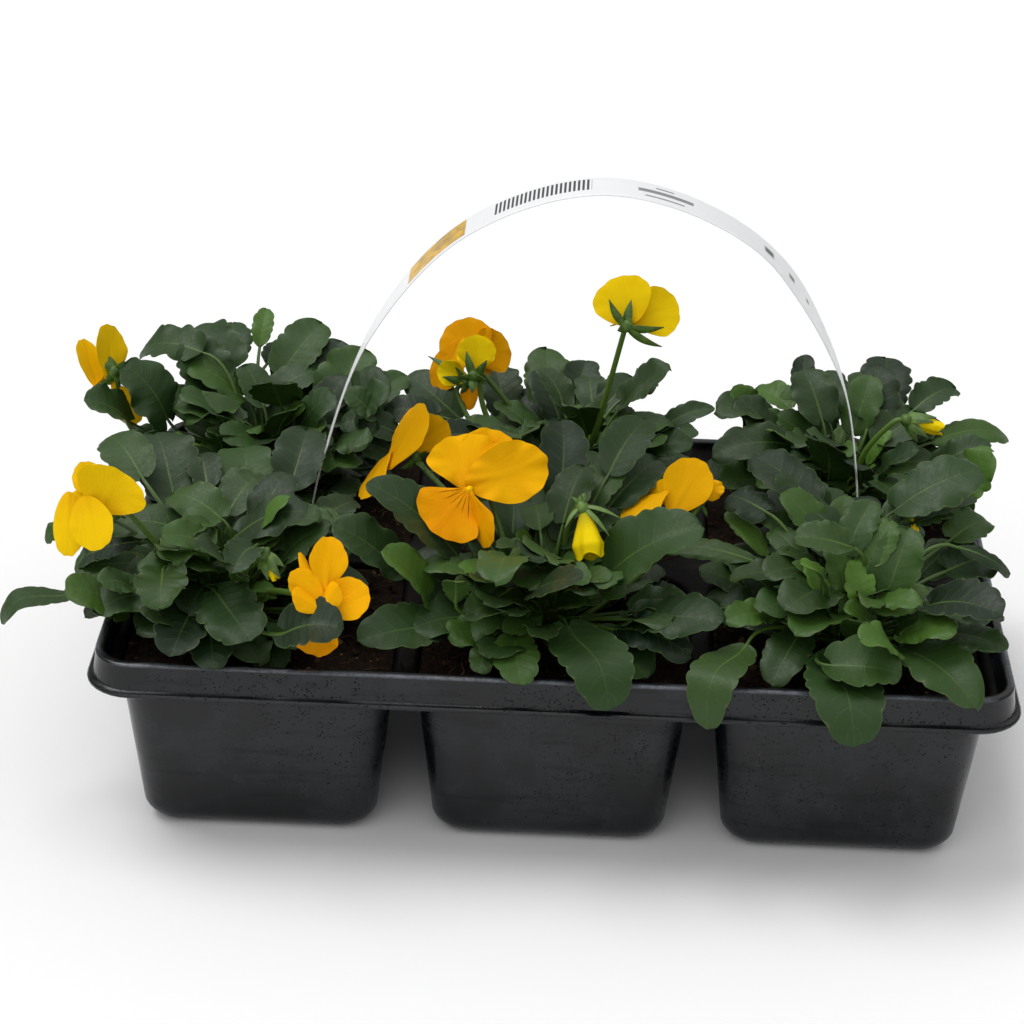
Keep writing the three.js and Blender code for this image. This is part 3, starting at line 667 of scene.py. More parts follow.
def ringSkin(loops):
    # a closed skin through loops that start and end on one another
    stack = np.array(loops)
    rows, columns = stack.shape[:2]
    index = np.arange(rows * columns).reshape(rows, columns)
    down, right = np.roll(index, -1, axis=0), np.roll(index, -1, axis=1)
    both = np.roll(down, -1, axis=1)
    quads = np.stack([index, right, both, down], axis=-1).reshape(-1, 4)
    return {"points": stack.reshape(-1, 3), "quads": quads, "values": {}}


def trayRim():
    # the rolled rim: a closed section of (inset, level), up outside, over the roll, down to the web
    # and back inside, carried round the tray's outline; the skirt's foot waves a little
    h, wall, deck = tray["height"], tray["wall"], tray["deck"]
    foot = h - tray["skirt"]
    inner = tray["deckInset"] + wall / 2
    bend = np.linspace(0, np.pi, 11)
    corner = np.linspace(0, np.pi / 2, 6)
    lip = [(-0.9, foot - 0.1), (-1.25, foot + 0.25), (-1.25, foot + 0.9), (-0.85, foot + 1.35)]
    outside = lip + [(0.25, foot + 1.5), (0.6, foot + 1.8), (1.45, h - 2.4), (1.5, h - 1.5)]
    outerRoll = [(2.4 - 0.9 * np.cos(a), h - 0.95 + 0.9 * np.sin(a)) for a in corner]
    outerRoll += [(3.1, h)] + [(3.7 + 0.95 * np.sin(a), h - 0.95 + 0.9 * np.cos(a)) for a in corner]
    insideTop = [(4.72, h - 2.2), (inner - 0.25, deck + 1), (inner + 0.6, deck - 0.1)]
    insideBack = [(inner + 0.4, deck - wall), (inner - wall, deck + 0.6), (3.9, h - 2.4)]
    innerRoll = [(3.1 + 0.8 * np.cos(a), h - 1.6 + 0.75 * np.sin(a)) for a in bend[1:-1]]
    back = [(2.2, h - 2.6), (1.4, foot + 1.9), (0.9, foot + 0.9), (-0.1, foot + 0.6), (-0.4, foot - 0.1)]
    loops = []
    for inset, z in outside + outerRoll + insideTop + insideBack + innerRoll + back:
        size = (tray["length"] - 2 * inset, tray["width"] - 2 * inset)
        loop = roundedLoop((0, 0), *size, tray["corner"] - inset, z)
        loop[:, 2] += tray["skirtWarp"] * waves(loop[:, :2], 0.02, 3, 2) * (z < foot + 3)
        loops.append(loop)
    skin = ringSkin(loops)
    x, y, z = skin["points"].T
    inset = np.minimum(*outlineInset(x, y))
    # 1 in the band along the rim's outer top edge, where the material paints a highlight
    skin["values"]["edge"] = smooth(z, h - 0.9, h - 0.5) * smooth(inset, 3.1, 2.3)
    return skin


def cellLoop(centre, inset, z):
    # a cell's outline moved in by the inset, its corners tighter by 0.3 of it
    radius = max(tray["cellCorner"] - 0.3 * inset, 1.2)
    return roundedLoop(centre, tray["cell"][0] - 2 * inset, tray["cell"][1] - 2 * inset, radius, z)


def panelLoop(column, row, z):
    # the outline of the share of the web round one cell, with the tray's own round corners
    x, y = tray["columns"][column], tray["rows"][row]
    halfColumn, corner = tray["columns"][2] / 2, tray["panelCorner"]
    edgeX, edgeY = outlineInset(0, 0, tray["panelInset"])
    low = -edgeX if column == 0 else x - halfColumn
    high = edgeX if column == 2 else x + halfColumn
    near, far = ((-edgeY, 0) if row == 0 else (0, edgeY))
    centre = ((low + high) / 2, (near + far) / 2)
    loop = roundedLoop(centre, high - low, far - near, 0.6, z)
    for cx in (-1, 1):
        for cy in (-1, 1):
            middle = np.array([cx * (edgeX - corner), cy * (edgeY - corner)])
            off = loop[:, :2] - middle
            outside = (off[:, 0] * cx > 0) & (off[:, 1] * cy > 0)
            reach = np.linalg.norm(off, axis=1)
            pull = outside & (reach > corner)
            loop[pull, :2] = middle + off[pull] / reach[pull, None] * corner
    return loop


def climb(loop):
    # a divider rises in a saddle where it meets the rim: the lift is saddle * closeness to the
    # rim^1.5 * exp(-(distance from the divider's middle / saddleWidth)^2)
    loop = loop.copy()
    x, y = loop[:, 0], loop[:, 1]
    edgeX, edgeY = outlineInset(x, y, tray["panelInset"])
    fromColumn = np.abs(np.abs(x) - tray["columns"][2] / 2)
    front = smooth(edgeY, tray["saddleReach"], 0) ** 1.5 * np.exp(-((fromColumn / tray["saddleWidth"]) ** 2))
    ends = smooth(edgeX, tray["saddleReach"], 0) ** 1.5 * np.exp(-((y / tray["saddleWidth"]) ** 2))
    loop[:, 2] += tray["saddle"] * (front + ends)
    return loop


def trayCell(column, row):
    # web panel, rounded mouth, wall, fillet, bottom and drain hole inside, then the same way back
    # on the outside; the two faces are a wall's thickness apart
    centre = (tray["columns"][column], tray["rows"][row])
    wall, deck, fillet, mouth = tray["wall"], tray["deck"], tray["fillet"], tray["mouth"]
    outer = tray["cellInset"]
    foot = outer + tray["taper"] + fillet

    def face(lift):
        # lift is the wall for the inside and nothing for the outside
        mouthRadius = mouth - wall + lift
        filletRadius = fillet - lift
        middle = outer + wall - mouth
        loops = []
        for a in np.radians(np.linspace(0, 90, 6)):
            loop = cellLoop(centre, middle + mouthRadius * np.sin(a), deck - mouth + mouthRadius * np.cos(a))
            loops.append(climb(loop))
        for share in np.linspace(0, 1, 7)[1:-1]:
            z = deck - mouth - share * (deck - mouth - fillet)
            loops.append(cellLoop(centre, outer + lift + tray["taper"] * share, z))
        for a in np.radians(np.linspace(0, 90, 8)):
            loops.append(cellLoop(centre, foot - filletRadius * np.cos(a), fillet - filletRadius * np.sin(a)))
        return loops

    drainSize = 2 * tray["drain"]
    drain = [roundedLoop(centre, drainSize, drainSize, tray["drain"] - 0.01, z) for z in (wall, 0)]
    top, under = climb(panelLoop(column, row, deck)), climb(panelLoop(column, row, deck - wall))
    skin = ringSkin([top] + face(wall) + drain + face(0)[::-1] + [under])
    # 1 on the web, where the material paints shade and peat dust and dulls the plastic
    skin["values"]["web"] = smooth(skin["points"][:, 2], deck - 8, deck - 2)
    return skin


trayParts = [trayRim()] + [trayCell(c, r) for c in range(3) for r in range(2)]
makePiece("trayShell", trayParts, trayPlastic, ["tray"], sharp=40)
print("tray made")

# soil
soil = {
    "level": 57.6,
    "mound": 1.6,
    "bump": 1.0,
    "clear": 1.2,
    "sole": 0.4,  # gap above the cell's floor
    "grid": 64,
    "crumbs": 420,
    "crumbSize": (0.35, 1.5),
    "fibres": 110,
    "fibreLength": (2, 7),
    "fibreRadius": (0.1, 0.28),
}


def soilBlock(centre, seed):
    # a square grid pressed into the rounded cell, its top bumpy and a little mounded; the sheet
    # is closed by walls that follow the cell down to a flat foot
    n = soil["grid"]
    a, b = np.meshgrid(np.linspace(-1, 1, n), np.linspace(-1, 1, n), indexing="ij")
    lean = tray["taper"] * (tray["deck"] - soil["level"]) / (tray["deck"] - tray["fillet"])
    halfX = tray["cell"][0] / 2 - soil["clear"] - lean
    halfY = tray["cell"][1] / 2 - soil["clear"] - lean
    corner = tray["cellCorner"] - 1
    x, y = a * halfX, b * halfY
    offX, offY = np.abs(x) - (halfX - corner), np.abs(y) - (halfY - corner)
    reach = np.hypot(np.maximum(offX, 0), np.maximum(offY, 0))
    square = np.maximum(offX, offY)
    pull = np.where((offX > 0) & (offY > 0), square / np.maximum(reach, 1e-6), 1.0)
    x = np.sign(x) * np.where(pull < 1, halfX - corner + offX * pull, np.abs(x))
    y = np.sign(y) * np.where(pull < 1, halfY - corner + offY * pull, np.abs(y))
    flat = np.stack([x + centre[0], y + centre[1]], axis=-1)
    inward = 1 - np.maximum(np.abs(a), np.abs(b))
    z = soil["level"] + soil["mound"] * smooth(inward, 0, 0.35)
    rough = waves(flat, 0.35, seed, 4) + 0.6 * waves(flat, 1.3, seed + 1, 3)
    z = z + soil["bump"] * rough * smooth(inward, 0, 0.08)
    top = np.concatenate([flat, z[..., None]], axis=-1)
    edge = gridEdge(n, n)
    count = len(edge)
    rim = top.reshape(-1, 3)[edge]
    bottom = tray["wall"] + soil["sole"]

    def ring(shrink, level):
        # the top's outline shrunk towards the cell's middle, at the level
        return np.column_stack([(rim[:, :2] - centre) * shrink + centre, np.full(count, level)])

    shrink = 1 - (tray["taper"] + 0.5) / halfX
    foot, sole = ring(shrink, tray["fillet"] + 0.5), ring(shrink - 0.12, bottom)
    points = np.concatenate([top.reshape(-1, 3), foot, sole, [[*centre, bottom]]])
    here = np.arange(count)
    after = np.roll(here, -1)
    first = n * n
    second = first + count
    walls = [
        np.stack([first + here, first + after, edge[after], edge], axis=-1),
        np.stack([second + here, second + after, first + after, first + here], axis=-1),
    ]
    tris = np.stack([np.full(count, second + count), second + after, second + here], axis=-1)
    quads = np.concatenate([gridQuads(n, n)] + walls)
    return {"points": points, "quads": quads, "tris": tris, "values": {}}, top


def crumbs(top, picker):
    # small broken lumps: octahedra whose corners are moved at random, scattered over the surface,
    # most of them near the least size
    n, count = soil["grid"], soil["crumbs"]
    least, most = soil["crumbSize"]
    row, column = picker.integers(1, n - 1, count), picker.integers(1, n - 1, count)
    centre = top[row, column] + picker.normal(0, 0.4, (count, 3)) * [1, 1, 0.3]
    size = picker.uniform(0, 1, count) ** 2.5 * (most - least) + least
    corner = np.array([[1, 0, 0], [0, 1, 0], [-1, 0, 0], [0, -1, 0], [0, 0, 1], [0, 0, -1]], float)
    shape = corner[None] * picker.uniform(0.6, 1.4, (count, 6, 1)) + picker.normal(0, 0.18, (count, 6, 3))
    points = centre[:, None] + shape * size[:, None, None]
    face = np.array([[0, 1, 4], [1, 2, 4], [2, 3, 4], [3, 0, 4], [1, 0, 5], [2, 1, 5], [3, 2, 5], [0, 3, 5]])
    tris = (face[None] + 6 * np.arange(count)[:, None, None]).reshape(-1, 3)
    tone = np.repeat(picker.uniform(0, 1, count), 6)
    quads = np.zeros((0, 4), int)
    return {"points": points.reshape(-1, 3), "quads": quads, "tris": tris, "values": {"tone": tone}}


def fibres(top, picker):
    # thin bent peat fibres that lie on the surface
    n = soil["grid"]
    made = []
    for _ in range(soil["fibres"]):
        start = top[picker.integers(3, n - 3), picker.integers(3, n - 3)] + [0, 0, 0.4]
        way = picker.uniform(0, 2 * np.pi)
        length = picker.uniform(*soil["fibreLength"])
        bend = picker.normal(0, 0.3, 3) * length * [1, 1, 0.25]
        end = start + length * np.array([np.cos(way), np.sin(way), picker.uniform(-0.05, 0.22)])
        handles = [start + (end - start) * 0.3 + bend, start + (end - start) * 0.7 - bend * 0.4]
        path = bezier([start, *handles, end], 5)
        radius = picker.uniform(*soil["fibreRadius"])
        made.append(sweptTube(path, radius, 3, {"tone": picker.uniform(0.35, 1)}))
    return made


for r, rowName in enumerate(("front", "back")):
    for c, columnName in enumerate(("left", "middle", "right")):
        cell = f"{rowName}_{columnName}"
        block, top = soilBlock((tray["columns"][c], tray["rows"][r]), 11 + 3 * c + r)
        makePiece(f"rootBall_{cell}", [block], soilPeat, [f"soil_{cell}"], sharp=70)
        picker = np.random.default_rng(100 + 3 * r + c)
        loose = [crumbs(top, picker)] + fibres(top, picker)
        makePiece(f"peatCrumbs_{cell}", loose, peatCrumb, sharp=30)
print("soil made")

# strap
strap = {
    "route": (
        (-86, 60), (-79, 97), (-62, 145), (-32.5, 180), (12, 195), (59, 178), (87, 138), (97, 97), (99, 60),
    ),
    "width": 16.8,
    "tail": 5,
    "thickness": 0.6,
    "shoulder": 104,
    "blend": 8,
    "knob": 0.9,  # how far the left shoulder bulges
    "steps": 260,
    "sides": 28,
    "barb": ((11, 2), (3.5, 7.6), (2.5, 5)),  # drop below the web and width, from the tip up
    "turns": ((0.2, 0.09, 4.2), (0.7, 0.035, -4), (0.81, 0.04, 3)),  # place, spread, degrees
}


def arch(points, steps):
    # centripetal Catmull-Rom spline through the points, then points at even spacing along it
    p = np.asarray(points, float)
    p = np.concatenate([[2 * p[0] - p[1]], p, [2 * p[-1] - p[-2]]])

    def blend(a, b, low, high, t):
        # a at low, b at high, straight in between
        return (high - t) / (high - low) * a + (t - low) / (high - low) * b

    dense = []
    for i in range(1, len(p) - 2):
        step = np.linalg.norm(np.diff(p[i - 1 : i + 3], axis=0), axis=1)
        knots = np.concatenate([[0], np.cumsum(step**0.5)])
        t = np.linspace(knots[1], knots[2], 60, endpoint=False)[:, None]
        a = [blend(p[i - 1 + k], p[i + k], knots[k], knots[k + 1], t) for k in range(3)]
        b = [blend(a[k], a[k + 1], knots[k], knots[k + 2], t) for k in range(2)]
        dense.append(blend(b[0], b[1], knots[1], knots[2], t))
    dense = np.concatenate(dense + [p[-2:-1]])
    run = np.concatenate([[0], np.cumsum(np.linalg.norm(np.diff(dense, axis=0), axis=1))])
    even = np.linspace(0, run[-1], steps)
    return np.stack([np.interp(even, run, dense[:, k]) for k in range(2)], axis=-1)


def rounded(x):
    # sign(x) |x|^0.35, which makes a circle's cosine and sine a box with rounded corners
    return np.sign(x) * np.abs(x) ** 0.35


def strapBand():
    # a flat strip along the arch: a rounded box for a section, turned by a few slight twists, and
    # narrowing to tails with barbs that hold it under the web
    steps, tail, shoulder = strap["steps"], strap["tail"], strap["shoulder"]
    line = arch(strap["route"], steps)
    opening = smooth(line[:, 1], shoulder - strap["blend"], shoulder)
    half = tail / 2 + (strap["width"] - tail) / 2 * opening
    knob = np.exp(-(((line[:, 1] - shoulder + strap["blend"] - 2) / 1.6) ** 2))
    half = half + strap["knob"] * knob * (line[:, 0] < 0)
    barb = np.array(strap["barb"], float)
    first = np.column_stack([np.full(3, line[0, 0]), line[0, 1] - barb[:, 0]])
    last = np.column_stack([np.full(3, line[-1, 0]), line[-1, 1] - barb[::-1, 0]])
    share = np.concatenate([np.zeros(3), np.linspace(0, 1, steps), np.ones(3)])
    path = np.concatenate([first, line, last])
    half = np.concatenate([barb[:, 1] / 2, half, barb[::-1, 1] / 2])
    tangent = unit(np.gradient(path, axis=0))
    flat = np.zeros(len(path))
    out = np.column_stack([-tangent[:, 1], flat, tangent[:, 0]])
    centre = np.column_stack([path[:, 0], flat, path[:, 1]])
    angle = np.linspace(0, 2 * np.pi, strap["sides"], endpoint=False)
    across, deep = rounded(np.cos(angle)), rounded(np.sin(angle))
    sway = 0.25 * np.sin(share * 9)[:, None] * across[None, :]
    level = strap["thickness"] / 2 * deep[None, :] + sway * half[:, None] * 0.12
    twist = sum(np.radians(t) * np.exp(-(((share - at) / spread) ** 2)) for at, spread, t in strap["turns"])
    wideWay = np.array([0, 1.0, 0]) * np.cos(twist)[:, None] - out * np.sin(twist)[:, None]
    out = out * np.cos(twist)[:, None] + np.array([0, 1.0, 0]) * np.sin(twist)[:, None]
    body = centre[:, None] + out[:, None] * level[..., None]
    body = body + wideWay[:, None] * (across[None, :] * half[:, None])[..., None]
    told = {
        "along": (share[:, None], [0, 1]),
        "across": (across[None, :], [0, 0]),
        "outer": ((deep > 0.2).astype(float)[None, :], [0, 0]),
    }
    return tubeSkin(body, centre[[0, -1]], told)


makePiece("strapBand", [strapBand()], strapWhite, ["carry_strap"], sharp=60)
print("strap made")

# leaves
leafSet = {
    "grid": (46, 13),
    "fillerGrid": (30, 9),
    "fillerTries": 6,
    "fillerRoll": 15,
    "thickness": 0.42,
    "edge": 0.16,
    "arch": 0.08,
    "teeth": 5.0,
    "notch": 0.14,
    "margin": 0.72,  # share of the half width where the teeth begin
    "faceUp": 0.25,
    "faceView": (0.7, 1.1),
    "fillerFaceView": (0.1, 0.7),
    "quilt": 0.1,
    "clear": 0.9,
    "rimInset": 5.5,
    "flowerClear": 17,
    "strapClear": 4,
    "stalkRadius": 0.85,
    "stalkSides": 8,
    "stalkSteps": 14,
    "crownRadii": (3.6, 4.2, 4.4, 4.0, 3.2, 2.2, 1.0),
    "ground": 59,
}
hangingLook = {
    "hanging": True, "droop": 0.0, "fold": 0.03, "curl": 0.0, "cup": 0.0, "wave": 0.2, "fall": 0.36,
}


def heading(azimuth, slope):
    # the unit vector that points to the azimuth and rises by the slope
    a, s = math.radians(azimuth), math.radians(slope)
    return np.array([math.cos(s) * math.cos(a), math.cos(s) * math.sin(a), math.sin(s)])


def turned(v, axis, degrees):
    # the vector turned about the axis
    return np.array(Matrix.Rotation(math.radians(degrees), 3, Vector(axis)) @ Vector(v))


def leafBlade(base, forward, normal, length, width, arched, look):
    # grid over the length u and across v: the half width is u^rise (1-u)^fall scaled to its peak,
    # cut by teeth near the margin; the middle rises by 4u(1-u) times the arch, or by 6.75u^2(1-u)
    # where the leaf hangs over the rim, and the tip droops with u^3; the halves fold up with
    # |v|^1.4 and their margins curl down with |v|^4
    nu, nv = look["grid"]
    u = (1 - np.cos(np.linspace(0.03, 1, nu) * np.pi)) / 2
    u = 0.35 * u + 0.65 * np.linspace(u[0], u[-1], nu)
    v = np.sin(np.linspace(-1, 1, nv) * np.pi / 2)
    v = 0.4 * v + 0.6 * np.linspace(-1, 1, nv)
    aside = np.abs(v)[None, :]
    side = unit(np.cross(normal, forward))
    a, b = look["rise"], look["fall"]
    peak = (a / (a + b)) ** a * (b / (a + b)) ** b
    shape = (u**a * np.maximum(1 - u, 0) ** b / peak)[:, None]
    # teeth: each step of the phase is one tooth, cut deepest at its end
    uneven = 0.25 * np.sin(u * 8 + look["phase"] * 11)[:, None]
    phase = u[:, None] * look["teeth"] + uneven + look["phase"] + np.where(v > 0, 0.37, 0.0)[None, :]
    step = phase - np.floor(phase)
    notch = 1 - np.sqrt(np.abs(np.sin(np.pi * step**1.2)))
    margin = smooth(aside, leafSet["margin"], 1.0)
    tooth = smooth(u, 0.06, 0.2)[:, None] * smooth(u, 1.0, 0.93)[:, None]
    half = width / 2 * shape * (1 - look["notch"] * notch * margin * tooth)
    off = v[None, :] * np.maximum(half, 0.25)
    # rise of the middle, then lift of the halves with quilting between the veins and waves
    bend = 6.75 * u * u * (1 - u) if look["hanging"] else 4 * u * (1 - u)
    up = arched * bend - look["droop"] * length * u**3
    lift = look["fold"] * width * aside**1.4 * shape - look["curl"] * width * aside**4 * shape
    lift = lift + look["cup"] * width * aside**2 * smooth(u, 0.35, 0.0)[:, None]
    veins = np.cos(2 * np.pi * (u[:, None] * leafPaint["sideVeins"] - leafPaint["slant"] * aside))
    lift = lift + leafSet["quilt"] * veins * (smooth(aside, 0, 0.3) * smooth(aside, 1, 0.7))
    lift = lift + look["wave"] * np.sin(u * 9 + look["phase"] * 7)[:, None] * (aside**2 * np.sign(v)[None, :])
    lift = lift + look["wave"] * 0.8 * np.sin(u * 17 + look["phase"] * 3)[:, None] * aside**3
    lobe = look["lobe"] * length * (1 - u) ** 4
    bow = look["bow"] * length * 4 * u * (1 - u)
    grid = (
        base
        + forward * (length * u)[:, None, None]
        - forward * (lobe[:, None] * aside**1.5)[..., None]
        + normal * (up[:, None] + lift)[..., None]
        + side * (off + bow[:, None])[..., None]
    )
    thick = leafSet["thickness"] * (1 - margin * 0.6) * np.ones((nu, 1))
    thick = np.maximum(thick * smooth(u, 1.0, 0.9)[:, None], leafSet["edge"])
    told = {
        "along": u[:, None],
        "across": v[None, :],
        "offMm": off,
        "gland": margin**4 * smooth(step, 0.8, 0.93) * tooth,
        "young": look["young"],
        "tone": look["tone"],
    }
    sheet = flippedSheet(grid, thick, told)
    sheet["values"]["under"] = 1 - sheet["values"]["under"]
    return sheet, grid


def leafLook(length, width, young, picker):
    # outline and bend of one leaf: round leaves are heart-shaped at the foot, long ones taper
    ratio = width / length
    return {
        "rise": float(np.interp(ratio, [0.3, 0.55, 0.85], [0.62, 0.43, 0.31])),
        "fall": float(np.interp(ratio, [0.3, 0.7], [0.5, 0.38])),
        "teeth": leafSet["teeth"] * (0.75 + length / 90),
        "notch": leafSet["notch"] * picker.uniform(0.8, 1.3),
        "phase": picker.uniform(0, 1),
        "droop": picker.uniform(0.0, 0.17),
        "lobe": float(np.interp(ratio, [0.55, 0.85], [0.0, 0.14])),
        "fold": picker.uniform(0.02, 0.2),
        "curl": picker.uniform(0.0, 0.1),
        "cup": picker.uniform(-0.05, 0.14),
        "wave": picker.uniform(0.3, 1.3) * width / 20,
        "bow": picker.uniform(-0.035, 0.035),
        "young": young,
        "hanging": False,
        "tone": picker.uniform(0, 1),
        "grid": leafSet["grid"],
    }


def leafStalk(start, base, forward, grid, tone):
    # the stalk rises from the crown, swings into the blade's own direction and runs on below its
    # middle as the midrib
    reach = np.linalg.norm(base - start)
    handles = [start + (base - start) * 0.35 + [0, 0, 0.1 * reach], base - forward * 0.3 * reach]
    path = bezier([start, *handles, base], leafSet["stalkSteps"])
    middle = grid[2 : int(len(grid) * 0.8) : 4, grid.shape[1] // 2]
    path = np.concatenate([path[:-1], middle])
    path[-len(middle) :, 2] -= 0.15
    share = np.linspace(0, 1, len(path))
    thick = leafSet["stalkRadius"] * np.interp(share, [0, 0.15, 0.5, 1], [1.25, 1.0, 0.75, 0.2])
    return sweptTube(path, thick, leafSet["stalkSides"], {"along": smooth(share, 0, 0.5), "tone": tone})


